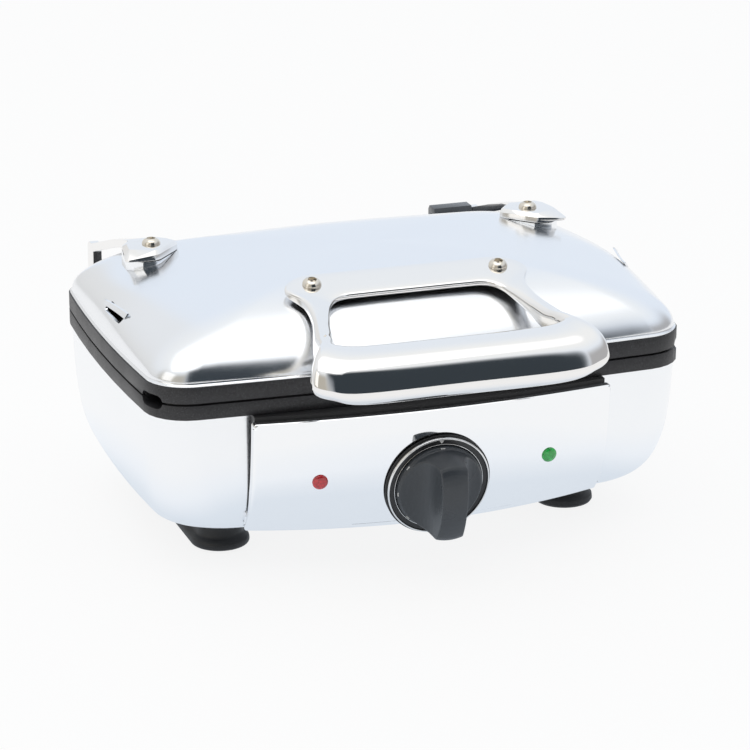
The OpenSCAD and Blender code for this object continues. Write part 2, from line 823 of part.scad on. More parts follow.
// Profile across a row of studs, standing on a strip that reaches down to the given depth
function stud_row(n, strip) =
    concat(
        [[-n * stud_pitch / 2, -well_depth - strip], [-n * stud_pitch / 2, -well_depth]],
        [for (i = [0 : n - 1]) each
            let (c = (i - (n - 1) / 2) * stud_pitch)
            [[c - stud_foot / 2, -well_depth], [c - stud_top / 2, -stud_clear],
                [c + stud_top / 2, -stud_clear], [c + stud_foot / 2, -well_depth]]],
        [[n * stud_pitch / 2, -well_depth], [n * stud_pitch / 2, -well_depth - strip]]);

// One waffle's field of studs, where the two crossed rows of profiles meet
module stud_field() {
    intersection() {
        rotate([90, 0, 0])
            linear_extrude(well_l, center = true)
                polygon(stud_row(stud_columns, 1));
        rotate([90, 0, 90])
            linear_extrude(well_w, center = true)
                polygon(stud_row(stud_rows, 1));
    }
}

// A straight stretch of a profile, at a distance from the middle
module straight(turn, out, from, to) {
    rotate([0, 0, turn])
        translate([out, to, 0])
            rotate([90, 0, 0])
                linear_extrude(to - from)
                    children();
}

loop_x = block_half_x - heater_inset;
loop_y = block_half_y - heater_inset + 4;
lead_gap = 24;

// Sweeps a profile round the element's loop. Its X points outwards and its Y up
module along_loop() {
    sx = loop_x - heater_bend_r;
    sy = loop_y - heater_bend_r;
    straight(0, loop_x, -sy, sy)
        children();
    straight(180, loop_x, -sy, sy)
        children();
    straight(270, loop_y, -sx, sx)
        children();
    straight(90, loop_y, -sx, -lead_gap)
        children();
    straight(90, loop_y, lead_gap, sx)
        children();
    for (c = [[0, sx, sy], [90, -sx, sy], [180, -sx, -sy], [270, sx, -sy]])
        translate([c[1], c[2], 0])
            rotate([0, 0, c[0]])
                rotate_extrude(angle = 90)
                    translate([heater_bend_r, 0])
                        children();
}

heater_r = heater_d / 2;
heater_z = plate_back - heater_r - 0.1;
rail_half_w = heater_r + 3;

// Slot through the rim at a front corner, where steam leaves
// Turn of the notch round the corner, from the side towards the front
notch_turn = 20;
notch_depth = 12;

module steam_notch() {
    a = rim_a;
    b = rim_b;
    c = corner_centre(a, b, arc_radius(b, side_bow), arc_radius(a, front_bow), rim_corner_r);
    translate([c[0], c[1], 0])
        rotate([0, 0, -notch_turn])
            rotate([0, 90, 0])
                translate([0, 0, rim_corner_r - notch_depth]) {
                    for (y = [-notch_half_w, notch_half_w])
                        translate([0, y, 0])
                            cylinder(r = notch_r, h = notch_depth + 2);
                    translate([-notch_r, -notch_half_w, 0])
                        cube([2 * notch_r, 2 * notch_half_w, notch_depth + 2]);
                }
}

// Shallow groove that keeps the two rims apart at their outer edge
groove_w = 2.4;
groove_h = 0.5;

module seam_groove(band_h) {
    difference() {
        prism(rim_outline(-1), -groove_h - seam_gap / 2, 1);
        prism(rim_outline(groove_w), -band_h, 2);
    }
}

// Cast plate with its cooking face up and the seam at z = 0
module grid_plate(band_h) {
    difference() {
        union() {
            difference() {
                union() {
                    prism(rim_outline(0), -band_h, -seam_gap / 2);
                    prism(rim_outline(skirt_inset), plate_back, -band_h + 1);
                }
                difference() {
                    prism(rim_outline(rim_land), -moat_depth, 1);
                    translate([-block_half_x, -block_half_y, -moat_depth - 1])
                        cube([2 * block_half_x, 2 * block_half_y, moat_depth + 1 - wall_clear]);
                }
                for (x = [-well_x, well_x])
                    translate([x - well_w / 2, -well_l / 2, -well_depth])
                        cube([well_w, well_l, well_depth + 1]);
                // Relief under the channel, in front of the wells and behind them
                for (side = [-1, 1])
                    intersection() {
                        prism(rim_outline(skirt_inset + skirt_t), plate_back - 1, -moat_depth - relief_roof);
                        translate([-rim_a, side > 0 ? block_half_y : -rim_b - block_half_y, plate_back - 1])
                            cube([rim_w, rim_b, well_depth]);
                    }
            }
            for (x = [-well_x, well_x])
                translate([x, 0, 0])
                    stud_field();
            translate([0, 0, heater_z])
                along_loop()
                    translate([-rail_half_w, 0])
                        square([2 * rail_half_w, plate_back - heater_z + 0.5]);
            for (x = [-boss_x, boss_x], y = [-boss_y, boss_y])
                translate([x, y, plate_back - shield_gap])
                    cylinder(r = boss_r, h = shield_gap + 0.5);
        }
        translate([0, 0, heater_z])
            along_loop()
                circle(r = heater_r + heater_clear);
        for (x = [-boss_x, boss_x], y = [-boss_y, boss_y])
            translate([x, y, plate_back - shield_gap - 1])
                cylinder(r = small_screw_r + 0.02, h = shield_gap);
        both_sides()
            steam_notch();
        seam_groove(band_h);
    }
}

module heater() {
    translate([0, 0, heater_z]) {
        along_loop()
            circle(r = heater_r);
        for (x = [-1, 1])
            translate([x * lead_gap, loop_y, 0])
                rotate([0, -90 * x, 0])
                    cylinder(r = heater_r * 0.55, h = 12);
    }
}

module round_rect(hx, hy, r) {
    translate([-hx, r - hy])
        square([2 * hx, 2 * (hy - r)]);
    translate([r - hx, -hy])
        square([2 * (hx - r), 2 * hy]);
    for (x = [-1, 1], y = [-1, 1])
        translate([x * (hx - r), y * (hy - r)])
            circle(r = r);
}

shield_lip = 6;
shield_r = 22;
shield_z = plate_back - shield_gap - 0.02;

module heat_shield() {
    difference() {
        translate([0, 0, shield_z - thin_sheet])
            linear_extrude(shield_lip)
                round_rect(shield_half_x, shield_half_y, shield_r);
        translate([0, 0, shield_z])
            linear_extrude(shield_lip)
                round_rect(shield_half_x - thin_sheet, shield_half_y - thin_sheet, shield_r - thin_sheet);
        for (x = [-boss_x, boss_x], y = [-boss_y, boss_y])
            translate([x, y, shield_z - 2])
                cylinder(r = small_screw_r + screw_clear, h = 4);
        // Way out for the element's leads
        translate([-lead_gap, shield_half_y - 8, shield_z - 2])
            cube([2 * lead_gap, 12, shield_lip + 4]);
    }
}

module shield_screws() {
    for (x = [-boss_x, boss_x], y = [-boss_y, boss_y])
        translate([x, y, shield_z + 6])
            mirror([0, 0, 1])
                pan_screw(small_screw_r, 6 + thin_sheet + 0.05);
}

module lower_half() {
    translate([0, 0, seam_z])
        children();
}

module upper_half() {
    translate([0, 0, seam_z])
        mirror([0, 0, 1])
            children();
}

module lower_grid_plate() {
    color("#33343a") placed() lower_half() difference() {
        grid_plate(lower_band_h);
        for (x = [-plate_screw_x, plate_screw_x], y = [-plate_screw_y, plate_screw_y])
            translate([x, y, -lower_band_h - 1])
                cylinder(r = small_screw_r + 0.02, h = plate_screw_bite + 1.5);
    }
}

module lower_heater() {
    color("#5d5a55") placed() lower_half()
        heater();
}

module lower_heat_shield() {
    color("lightgray") placed() lower_half()
        heat_shield();
}

module lower_shield_screws() {
    color("dimgray") placed() lower_half()
        shield_screws();
}

plate_screw_bite = 4;

module plate_screws() {
    length = plate_screw_bite + eps + sheet + 0.05;
    color("dimgray") placed()
        for (x = [-plate_screw_x, plate_screw_x], y = [-plate_screw_y, plate_screw_y])
            translate([x, y, lower_band_z + plate_screw_bite])
                mirror([0, 0, 1])
                    pan_screw(small_screw_r, length);
}

// Posts on the back of the upper plate that the arms' screws pull on
post_r = 6;
post_drop = 6.3;
arm_post_z = arm_lid_z - post_drop;

module upper_posts(r, bore_up) {
    for (side = [-1, 1])
        translate([side * arm_screw_x, arm_screw_y, seam_z - plate_back - 0.5])
            cylinder(r = r, h = arm_post_z - seam_z + plate_back + 0.5 + bore_up);
}

module upper_grid_plate() {
    color("#33343a") placed() difference() {
        union() {
            upper_half()
                grid_plate(upper_band_h);
            upper_posts(post_r, 0);
        }
        translate([0, 0, 4])
            upper_posts(screw_r + 0.02, 1);
    }
}

module upper_heater() {
    color("#5d5a55") placed() upper_half()
        heater();
}

module upper_heat_shield() {
    color("lightgray") placed() upper_half()
        heat_shield();
}

module upper_shield_screws() {
    color("dimgray") placed() upper_half()
        shield_screws();
}

// ---------------------------------------------------------------- lid

dome_steps = [1, 0.998, 0.992, 0.98, 0.96, 0.93, 0.89, 0.83, 0.75, 0.65, 0.52, 0.37, 0.2, 0.06];

// Places the handle's flange, with its top face on z = 0
module on_flange() {
    for (x = [-1, 1])
        translate([x * handle_screw_span / 2, -handle_screw_y, flange_top_z])
            rotate([handle_tilt, 0, 0])
                children();
}

seat_h = 6;
seat_r = 7;
vent_root_y = -14;
vent_length = 21;
vent_z = 122;
vent_h = 7;
vent_reach = 5.5;

// Finger cut from the lid's right side and bent outwards
module vent_finger() {
    root_x = rim_a - 7;
    translate([0, 0, vent_z + 0.6])
        linear_extrude(vent_h - 1.2)
            polygon([
                [root_x - sheet, vent_root_y - 1.5],
                [root_x, vent_root_y - 1.5],
                [root_x + vent_reach, vent_root_y + vent_length],
                [root_x + vent_reach - sheet, vent_root_y + vent_length]]);
}

module lid_cover() {
    color("gainsboro") placed() difference() {
        union() {
            skin(concat(
                [for (i = [len(dome_steps) - 1 : -1 : 0]) dome_ring(dome_steps[i], sheet)],
                [at_height(rim_outline(lid_step + sheet), lid_base_z + sheet)],
                [at_height(rim_outline(lid_step + seat_flange), lid_base_z + sheet)],
                [at_height(rim_outline(lid_step + seat_flange), lid_base_z)],
                [at_height(rim_outline(0.8), lid_base_z)],
                [at_height(rim_outline(0.7), lid_base_z + sheet * 0.6)],
                [at_height(rim_outline(1.1), lid_base_z + sheet)],
                [for (s = dome_steps) dome_ring(s, 0)]));
            // Flat seats under the handle's flange
            on_flange()
                translate([0, 0, -flange_t - seat_h - 0.05])
                    cylinder(r = seat_r, h = seat_h);
            both_sides()
                vent_finger();
        }
        on_flange()
            translate([0, 0, -20])
                cylinder(r = screw_r + screw_clear, h = 30);
        for (x = [-1, 1])
            translate([x * arm_screw_x, arm_screw_y, arm_post_z - 3])
                cylinder(r = screw_r + screw_clear, h = arm_top_z - arm_post_z);
        both_sides()
            difference() {
                translate([rim_a - 20, vent_root_y, vent_z])
                    cube([20, vent_length, vent_h]);
                vent_finger();
            }
    }
}

// ---------------------------------------------------------------- handle

// Stations round the right half of the handle, from the middle of the flange to the middle of the bar:
// outer edge x, y, inner edge x, y, thickness, squareness and lean of the section
ear_x = handle_screw_span / 2;
ear_y = -handle_screw_y;
bar_front = -bar_y - bar_w / 2;
bar_back = -bar_y + bar_w / 2;
slope = tan(handle_tilt);
plate_t = flange_t / cos(handle_tilt);
handle_stations = [
    [0, ear_y + 11, 0, ear_y - 11.5, plate_t, 7, slope],
    [30, ear_y + 11, 27, ear_y - 11.5, plate_t, 7, slope],
    [ear_x + 4, ear_y + 10, ear_x - 12, ear_y - 12.5, plate_t, 7, slope],
    [ear_x + 15.7, ear_y - 1, ear_x - 5.5, ear_y - 17.5, plate_t + 0.4, 5, slope],
    [ear_x + 12, ear_y - 15, ear_x - 3, ear_y - 26, flange_t + 3, 3.6, slope],
    [ear_x + 11.5, ear_y - 32, ear_x - 1, ear_y - 40, flange_t + 7, 3, slope],
    [bar_half_w - 12, bar_back + 14, ear_x + 2, bar_back + 17, bar_t * 0.65, 2.4, slope],
    [bar_half_w - 3.5, bar_back - 5, ear_x + 6.5, bar_back + 7.5, bar_t * 0.86, 2.2, slope / 2],
    [bar_half_w - 1, bar_back - 19, ear_x + 5, bar_back + 1, bar_t * 0.97, 2.2, slope / 3],
    [bar_half_w - 9, bar_front + 3, ear_x - 3, bar_back, bar_t, 2.2, slope / 4],
    [bar_half_w - 28, bar_front + 0.3, ear_x - 16, bar_back, bar_t, 2.2, slope / 4],
    [0, bar_front, 0, bar_back, bar_t, 2.2, slope / 4]];

function mirrored(s) = [-s[0], s[1], -s[2], s[3], s[4], s[5], s[6]];
handle_loop = concat(
    handle_stations,
    [for (i = [len(handle_stations) - 2 : -1 : 1]) mirrored(handle_stations[i])]);

// Smooth curve through the stations
function smooth(p, q, r, s, t) =
    0.5 * (2 * q + (r - p) * t + (2 * p - 5 * q + 4 * r - s) * t * t + (3 * q - p - 3 * r + s) * t * t * t);

function smooth_loop(list, n) =
    let (k = len(list))
    [for (i = [0 : k - 1], j = [0 : n - 1])
        smooth(list[(i + k - 1) % k], list[i], list[(i + 1) % k], list[(i + 2) % k], j / n)];

function rounded(c, power) = sign(c) * abs(c) ^ (2 / power);

// Section of the handle at a station
function handle_ring(s, n) =
    let (outer = [s[0], s[1]])
    let (inner = [s[2], s[3]])
    let (middle = (outer + inner) / 2)
    let (half = (outer - inner) / 2)
    [for (i = [0 : n - 1])
        let (a = 360 * i / n)
        let (across = rounded(cos(a), s[5]))
        let (up = rounded(sin(a), s[5]))
        let (height = flange_top_z - plate_t / 2 + slope * (middle[1] - ear_y))
        [middle[0] + half[0] * across, middle[1] + half[1] * across,
            height + s[6] * half[1] * across + up * s[4] / 2]];

module handle() {
    color("whitesmoke") placed() difference() {
        ring_skin([for (s = smooth_loop(handle_loop, 3)) handle_ring(s, 16)]);
        on_flange()
            translate([0, 0, -flange_t - 5])
                cylinder(r = screw_r + screw_clear, h = flange_t + 10);
    }
}

socket_r = 2.6;
head_lift = 0.12;

// Button-head screw with a hexagon socket. The head stands on z = 0
module button_screw(length) {
    difference() {
        union() {
            rotate_extrude()
                polygon([
                    [0, 0],
                    [head_r, 0],
                    [head_r, head_h * 0.18],
                    [head_r * 0.95, head_h * 0.42],
                    [head_r * 0.82, head_h * 0.7],
                    [head_r * 0.6, head_h * 0.92],
                    [head_r * 0.45, head_h],
                    [0, head_h]]);
            translate([0, 0, -length])
                cylinder(r = screw_r, h = length + eps);
        }
        translate([0, 0, head_h - 1.9])
            cylinder(r = socket_r, h = 4, $fn = 6);
    }
}

module handle_screws() {
    nut_h = 4;
    nut_from = -flange_t - 0.05 - seat_h - 0.05;
    color("#c9bfae") placed() on_flange() {
        translate([0, 0, head_lift])
            button_screw(nut_h - nut_from + 1);
        translate([0, 0, nut_from - nut_h])
            difference() {
                cylinder(r = 5, h = nut_h, $fn = 6);
                translate([0, 0, -1])
                    cylinder(r = screw_r + 0.02, h = nut_h + 2);
            }
    }
}

// ---------------------------------------------------------------- hinge

// Outline of the arm's boss round its screw, for the right arm
boss_foot = [[-16, 3], [-15, 0.5], [-1.2, -14.6], [2.5, -16], [17, -15.2], [18.6, -13.6], [16.5, -4], [15, 8],
    [11, 14], [-7, 14], [-13, 9]];
// The seat under it is cut back at its outer front corner
seat_outline = [[-16, 3], [-15, 0.5], [-1.2, -14.6], [2.5, -15.6], [9, -15.4], [13.5, -12], [16, -6], [15, 8],
    [11, 14], [-7, 14], [-13, 9]];
// Flat top of the boss, behind the broad hollow at its front
boss_top = [[-14, 3], [-13, 1.2], [-0.6, -12.2], [1.6, -12.8], [8, -8.8], [14, -7], [14.5, -5.5], [13.8, 0],
    [12, 8], [9, 12.5], [-5.5, 12.5], [-11, 8]];

module boss_slice(outline, z0, z1) {
    translate([0, 0, z0])
        linear_extrude(z1 - z0)
            polygon(outline);
}

module leg_profile() {
    translate([pivot_y, pivot_z])
        circle(r = eye_r);
    translate([pivot_y - eye_r + 1, pivot_z])
        square([2 * eye_r - 2, elbow_z - pivot_z - 5]);
    translate([pivot_y - eye_r + 1, elbow_z - 9])
        square([2 * eye_r - 7, 9]);
    translate([pivot_y + eye_r - 6, elbow_z - 5])
        circle(r = 5);
}

peg_r = 2;
peg_z = pivot_z + 18;
strap_t = 3.8;
knee_y = (arm_screw_y + pivot_y) / 2 - 6;
knee_z = arm_top_z - arm_t - 9.5;

module strap_knee() {
    translate([leg_x - leg_t / 2, knee_y, knee_z])
        cube([leg_t, 4, strap_t]);
}

// Right arm. Its boss is fixed on the lid and its eye turns on the hinge pin
module right_arm() {
    difference() {
        union() {
            translate([arm_screw_x, arm_screw_y, 0])
                hull() {
                    boss_slice(boss_foot, arm_top_z - arm_t, arm_top_z - arm_t + 1.2);
                    boss_slice([for (p = boss_foot) if (p[1] > -1 || p[0] < 4) p * 0.985],
                        arm_top_z - arm_t + 1.2, arm_top_z - arm_t + 3);
                    boss_slice(boss_top, arm_top_z - 0.4, arm_top_z);
                }
            // Strap that slopes down over the back of the lid
            hull() {
                translate([arm_screw_x - 5, arm_screw_y + 13, arm_top_z - arm_t])
                    cube([15, 2, strap_t]);
                strap_knee();
            }
            hull() {
                strap_knee();
                translate([leg_x - leg_t / 2, pivot_y - eye_r + 1, elbow_z - strap_t])
                    cube([leg_t, 4, strap_t]);
            }
            translate([leg_x - leg_t / 2, 0, 0])
                rotate([90, 0, 90])
                    linear_extrude(leg_t)
                        leg_profile();
        }
        translate([arm_screw_x, arm_screw_y, arm_top_z - 2 * arm_t])
            cylinder(r = screw_r + screw_clear, h = 3 * arm_t);
        translate([leg_x, pivot_y, pivot_z])
            rotate([0, 90, 0])
                cylinder(r = pin_r + run_fit, h = 2 * leg_t, center = true);
        translate([leg_x - leg_t / 2 - 1, pivot_y, peg_z])
            rotate([0, 90, 0])
                cylinder(r = peg_r + 0.1, h = 3);
    }
}

module right_hinge_arm() {
    color("whitesmoke") placed()
        right_arm();
}

module left_hinge_arm() {
    color("whitesmoke") placed()
        mirror([1, 0, 0])
            right_arm();
}

// Only the part of the lid's form that lies under the arms' seats
module lid_shoulder() {
    steps = [for (s = dome_steps) if (s > 0.5 && s < 0.985) s];
    skin([for (s = steps) dome_ring(s, 0)]);
}

seat_skirt = 4;

module hinge_arm_seats() {
    seat_top = arm_top_z - arm_t - arm_joint;
    color("silver") placed() both_sides() difference() {
        translate([arm_screw_x, arm_screw_y, 0]) {
            boss_slice(seat_outline, arm_post_z - seat_skirt, seat_top);
            translate([0, 0, seat_top - 1])
                cylinder(r = 8, h = arm_joint + 0.98);
        }
        translate([0, 0, 0.1])
            lid_shoulder();
        translate([arm_screw_x, arm_screw_y, arm_post_z - 2 * seat_skirt])
            cylinder(r = screw_r + screw_clear, h = arm_top_z - arm_post_z + 2 * seat_skirt);
    }
}

arm_screw_bite = 5.4;

module hinge_arm_screws() {
    color("#c9bfae") placed() for (x = [-1, 1])
        translate([x * arm_screw_x, arm_screw_y, arm_top_z + 0.02])
            button_screw(arm_top_z - arm_post_z + arm_screw_bite);
}

ear_gap = 0.3;
ear_t = 4;
bracket_plate_t = 3;
wall_y = -body_front(leg_x - leg_t / 2 - ear_gap - ear_t - 6, pivot_z - 12) + 0.1;
bracket_low_z = 62;
bracket_high_z = 90;

module bracket_screw_places() {
    for (z = [bracket_low_z + 6, bracket_low_z + 22])
        translate([leg_x, wall_y + bracket_plate_t, z])
            rotate([-90, 0, 0])
                children();
}

module right_bracket() {
    difference() {
        union() {
            translate([leg_x - leg_t / 2 - ear_gap - ear_t - 6, wall_y, bracket_low_z])
                cube([leg_t + 2 * (ear_gap + ear_t) + 12, bracket_plate_t, bracket_high_z - bracket_low_z]);
            for (x = [leg_x - leg_t / 2 - ear_gap - ear_t, leg_x + leg_t / 2 + ear_gap])
                translate([x, 0, 0])
                    rotate([90, 0, 90])
                        linear_extrude(ear_t) {
                            polygon([
                                [wall_y + bracket_plate_t - 1, bracket_low_z + 2],
                                [pivot_y + 2, pivot_z - eye_r + 0.3],
                                [pivot_y, pivot_z + eye_r],
                                [wall_y + bracket_plate_t - 1, bracket_high_z - 1]]);
                            translate([pivot_y, pivot_z])
                                circle(r = eye_r);
                        }
        }
        translate([leg_x, pivot_y, pivot_z])
            rotate([0, 90, 0])
                cylinder(r = pin_r + 0.02, h = 2 * (leg_t + ear_gap + ear_t), center = true);
        bracket_screw_places()
            translate([0, 0, -10])
                cylinder(r = small_screw_r + screw_clear, h = 20);
    }
}

module right_hinge_bracket() {
    color("silver") placed()
        right_bracket();
}

module left_hinge_bracket() {
    color("silver") placed()
        mirror([1, 0, 0])
            right_bracket();
}

module hinge_pins() {
    half = leg_t / 2 + ear_gap + ear_t;
    color("silver") placed() both_sides()
        translate([leg_x, pivot_y, pivot_z])
            rotate([0, 90, 0]) {
                translate([0, 0, -half - 1])
                    cylinder(r = pin_r, h = 2 * half + 2);
                translate([0, 0, half + 0.1])
                    cylinder(r = pin_r + 1.6, h = 1.8);
            }
}

module bracket_screws() {
    color("dimgray") placed() both_sides()
        bracket_screw_places()
            translate([0, 0, -9.95])
                pan_screw(small_screw_r, 10);
}

// Cover of the leads that run from the base into the lid, pegged to the right arm
module wire_cover() {
    inner_x = leg_x - leg_t / 2 - 0.2;
    width = 24;
    low = pivot_z + eye_r + 1.5;
    color("#3c4046") placed() {
        translate([inner_x - width, 0, 0])
            rotate([90, 0, 90])
                linear_extrude(width)
                    difference() {
                        polygon([[pivot_y - 6.5, low], [pivot_y + 6.5, low], [pivot_y + 6.5, elbow_z - 1],
                            [pivot_y + 4.5, elbow_z + 1.5], [pivot_y - 4, elbow_z + 1.5],
                            [pivot_y - 6.5, elbow_z - 2]]);
                        translate([pivot_y, elbow_z - 6])
                            circle(r = 3.5);
                    }
        translate([inner_x - 1, pivot_y, peg_z])
            rotate([0, 90, 0])
                cylinder(r = peg_r, h = 2.8);
    }
}

// ---------------------------------------------------------------- feet

foot_top_z = cover_bottom_z - 0.05;
foot_bore_z = 9;

module foot_screw_places() {
    for (x = [-foot_x, foot_x], y = [-foot_front + 16, foot_rear - 16])
        translate([x, y, 0])
            children();
}

// Half section of a foot, from its middle line outwards
function foot_section() =
    let (w = foot_w / 2)
    [[0, 0], [w - 2.2, 0], [w - 0.8, 0.5], [w, 1.8], [w - 0.3, foot_lip_h - 1.6], [w - 1.6, foot_lip_h - 0.4],
        [w - foot_waist, foot_lip_h + 0.8], [w - foot_waist - 0.6, foot_lip_h + 5],
        [w - foot_waist, foot_top_z], [0, foot_top_z]];

module foot() {
    half = foot_w / 2;
    straight_from = half - foot_front;
    straight_to = foot_rear - half;
    section = foot_section();
    difference() {
        union() {
            for (y = [straight_from, straight_to])
                translate([0, y, 0])
                    rotate_extrude()
                        polygon(section);
            translate([0, straight_to, 0])
                rotate([90, 0, 0])
                    linear_extrude(straight_to - straight_from)
                        polygon(concat(
                            section,
                            [for (i = [len(section) - 2 : -1 : 1]) [-section[i][0], section[i][1]]]));
        }
        for (y = [-foot_front + 16, foot_rear - 16]) {
            translate([0, y, -1])
                cylinder(r = 5, h = foot_bore_z + 1);
            translate([0, y, -1])
                cylinder(r = small_screw_r + screw_clear, h = foot_top_z + 2);
        }
    }
}

module left_foot() {
    color("#121212") placed()
        translate([-foot_x, 0, 0])
            foot();
}

module right_foot() {
    color("#121212") placed()
        translate([foot_x, 0, 0])
            foot();
}

module foot_screws() {
    nut_h = 2.4;
    length = cover_top_z + nut_h - foot_bore_z + 1;
    color("silver") placed() foot_screw_places() {
        translate([0, 0, foot_bore_z + length - 0.05])
            mirror([0, 0, 1])
                pan_screw(small_screw_r, length);
        translate([0, 0, cover_top_z + 0.02])
            difference() {
                cylinder(r = 3.2, h = nut_h, $fn = 6);
                translate([0, 0, -1])
                    cylinder(r = small_screw_r + 0.02, h = nut_h + 2);
            }
    }
}

// ---------------------------------------------------------------- mains inlet

module cord_gland() {
    flange = 2.2;
    length = 9;
    wall = -body_front(gland_x - gland_r - 3, gland_z + gland_r + 3);
    color("#181818") placed()
        translate([gland_x, wall + 0.4, gland_z])
            rotate([90, 0, 0])
                difference() {
                    union() {
                        cylinder(r = gland_r, h = length);
                        translate([0, 0, -flange])
                            cylinder(r1 = gland_r + 1.6, r2 = gland_r + 3, h = flange);
                    }
                    translate([0, 0, -flange - 1])
                        cylinder(r = gland_r - 2.4, h = length + flange + 2);
                }
}

module terminal_block() {
    w = 44;
    d = 18;
    h = 14;
    color("ivory") placed()
        translate([30, 44, cover_top_z + 0.02])
            difference() {
                cube([w, d, h]);
                for (i = [0 : 2]) {
                    translate([8 + i * 14, -1, h / 2])
                        rotate([-90, 0, 0])
                            cylinder(r = 2.2, h = d + 2);
                    translate([8 + i * 14, d / 2, h / 2])
                        cylinder(r = 2, h = h);
                }
            }
}

base_housing();
bottom_cover();
bottom_screws();
control_panel();
panel_liner();
dial_bezel();
dial_plate();
power_lamp_lens();
ready_lamp_lens();
lamp_holders();
thermostat_body();
thermostat_bracket();
lower_grid_plate();
lower_heater();
lower_heat_shield();
lower_shield_screws();
plate_screws();
left_foot();
right_foot();
foot_screws();
cord_gland();
terminal_block();
left_hinge_bracket();
right_hinge_bracket();
hinge_pins();
bracket_screws();
dial_knob();
thermostat_shaft();
lid_cover();
upper_grid_plate();
upper_heater();
upper_heat_shield();
upper_shield_screws();
handle();
handle_screws();
left_hinge_arm();
right_hinge_arm();
hinge_arm_seats();
hinge_arm_screws();
wire_cover();
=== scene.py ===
# %% [markdown]
# # Waffle maker: the looks
#
# The solids of this appliance are already drawn and packed as a frame. This lesson dresses them:
# the pressed and polished shells, the cast handle and the dial are modelled as fine, smooth
# pieces, and every other part keeps its solid and gets a proper material. Lengths are in metres.

# %% Load the frame and note its box
import json
import math
from collections import namedtuple

import bmesh
import bpy
from mathutils import Matrix, Vector


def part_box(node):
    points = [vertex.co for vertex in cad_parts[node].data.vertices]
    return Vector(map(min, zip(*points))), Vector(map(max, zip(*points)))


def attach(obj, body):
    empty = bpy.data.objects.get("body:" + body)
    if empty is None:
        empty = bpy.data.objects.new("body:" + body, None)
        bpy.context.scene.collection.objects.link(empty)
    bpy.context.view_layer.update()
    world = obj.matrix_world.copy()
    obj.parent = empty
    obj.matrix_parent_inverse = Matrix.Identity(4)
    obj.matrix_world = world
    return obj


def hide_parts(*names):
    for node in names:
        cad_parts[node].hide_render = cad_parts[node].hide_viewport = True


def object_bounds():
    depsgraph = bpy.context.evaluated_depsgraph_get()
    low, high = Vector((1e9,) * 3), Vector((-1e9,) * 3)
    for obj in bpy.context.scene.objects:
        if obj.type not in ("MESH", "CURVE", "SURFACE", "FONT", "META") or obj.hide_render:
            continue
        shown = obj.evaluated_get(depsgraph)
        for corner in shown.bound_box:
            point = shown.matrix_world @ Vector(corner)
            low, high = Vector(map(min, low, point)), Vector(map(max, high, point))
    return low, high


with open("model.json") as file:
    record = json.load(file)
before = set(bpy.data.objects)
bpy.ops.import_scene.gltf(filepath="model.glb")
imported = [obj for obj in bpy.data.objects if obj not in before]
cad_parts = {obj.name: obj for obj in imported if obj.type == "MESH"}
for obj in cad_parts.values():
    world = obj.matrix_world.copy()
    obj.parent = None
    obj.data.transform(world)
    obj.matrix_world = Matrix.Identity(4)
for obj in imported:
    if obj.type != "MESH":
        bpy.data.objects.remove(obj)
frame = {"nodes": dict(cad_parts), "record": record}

cad_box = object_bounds()
nodes = frame["nodes"]
MM = 0.001
print("nodes:", len(nodes), "box:", cad_box)

# %% [markdown]
# ## Sizes that everything follows
#
# The two cooking plates meet in a seam, and their rim sets the outline of the lid and of the
# body. The rim's half width, half depth and middle are read from the frame. The bow of its sides
# and the radius of its corners are what a pressed rim of this size has.

# %% Driving sizes
lower_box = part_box("lower_grid_plate")
upper_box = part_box("upper_grid_plate")
rim_a = (lower_box[1][0] - lower_box[0][0]) / 2
rim_b = (lower_box[1][1] - lower_box[0][1]) / 2
mid_y = (lower_box[1][1] + lower_box[0][1]) / 2
side_bow = 5.3 * MM
front_bow = 5.4 * MM
corner_r = 24.5 * MM
seam_z = (lower_box[1][2] + upper_box[0][2]) / 2
lower_band_z = seam_z - 8.5 * MM
upper_band_z = seam_z + 9.3 * MM
sheet = 1.2 * MM
print(f"rim {rim_a * 2:.3f} x {rim_b * 2:.3f} m, seam at {seam_z:.4f}")

# %% [markdown]
# ## Small tools
#
# Blender's operators act on whatever is selected, so each piece starts from an empty selection.
# A few short helpers keep the cells below readable: one picks edges by a rule, one adds a
# modifier and applies it, one adds a grid and wraps it onto a form, one spins a profile, and
# `dress` finishes a piece.

# %% Starting, finishing and picking
def clear_selection():
    """Leaves edit mode and deselects everything."""
    if bpy.context.object and bpy.context.object.mode != "OBJECT":
        bpy.ops.object.mode_set(mode="OBJECT")
    bpy.ops.object.select_all(action="DESELECT")


def only(piece):
    """Makes one piece the selected and active one."""
    clear_selection()
    piece.select_set(True)
    bpy.context.view_layer.objects.active = piece


def edit(piece):
    """Opens a piece in edit mode with all of it selected."""
    only(piece)
    bpy.ops.object.mode_set(mode="EDIT")
    bpy.ops.mesh.select_all(action="SELECT")


def leave_edit():
    bpy.ops.object.mode_set(mode="OBJECT")


def settle(piece):
    """Puts the piece's place, turn and scale into its mesh."""
    only(piece)
    bpy.ops.object.transform_apply(location=True, rotation=True, scale=True)


def tidy_mesh(piece, distance=1e-6):
    """Merges doubles and turns the faces outwards."""
    edit(piece)
    bpy.ops.mesh.remove_doubles(threshold=distance)
    bpy.ops.mesh.normals_make_consistent(inside=False)
    leave_edit()


def pick_edges(test):
    """In edit mode, selects the edges that pass a test."""
    bpy.ops.mesh.select_mode(type="EDGE")
    bpy.ops.mesh.select_all(action="DESELECT")
    mesh = bmesh.from_edit_mesh(bpy.context.edit_object.data)
    for edge in mesh.edges:
        if test(edge):
            edge.select_set(True)
    bmesh.update_edit_mesh(bpy.context.edit_object.data)


def add_modifier(piece, kind, **settings):
    """Adds a modifier and applies it at once."""
    modifier = piece.modifiers.new(kind.lower(), kind)
    for key, value in settings.items():
        setattr(modifier, key, value)
    only(piece)
    bpy.ops.object.modifier_apply(modifier=modifier.name)


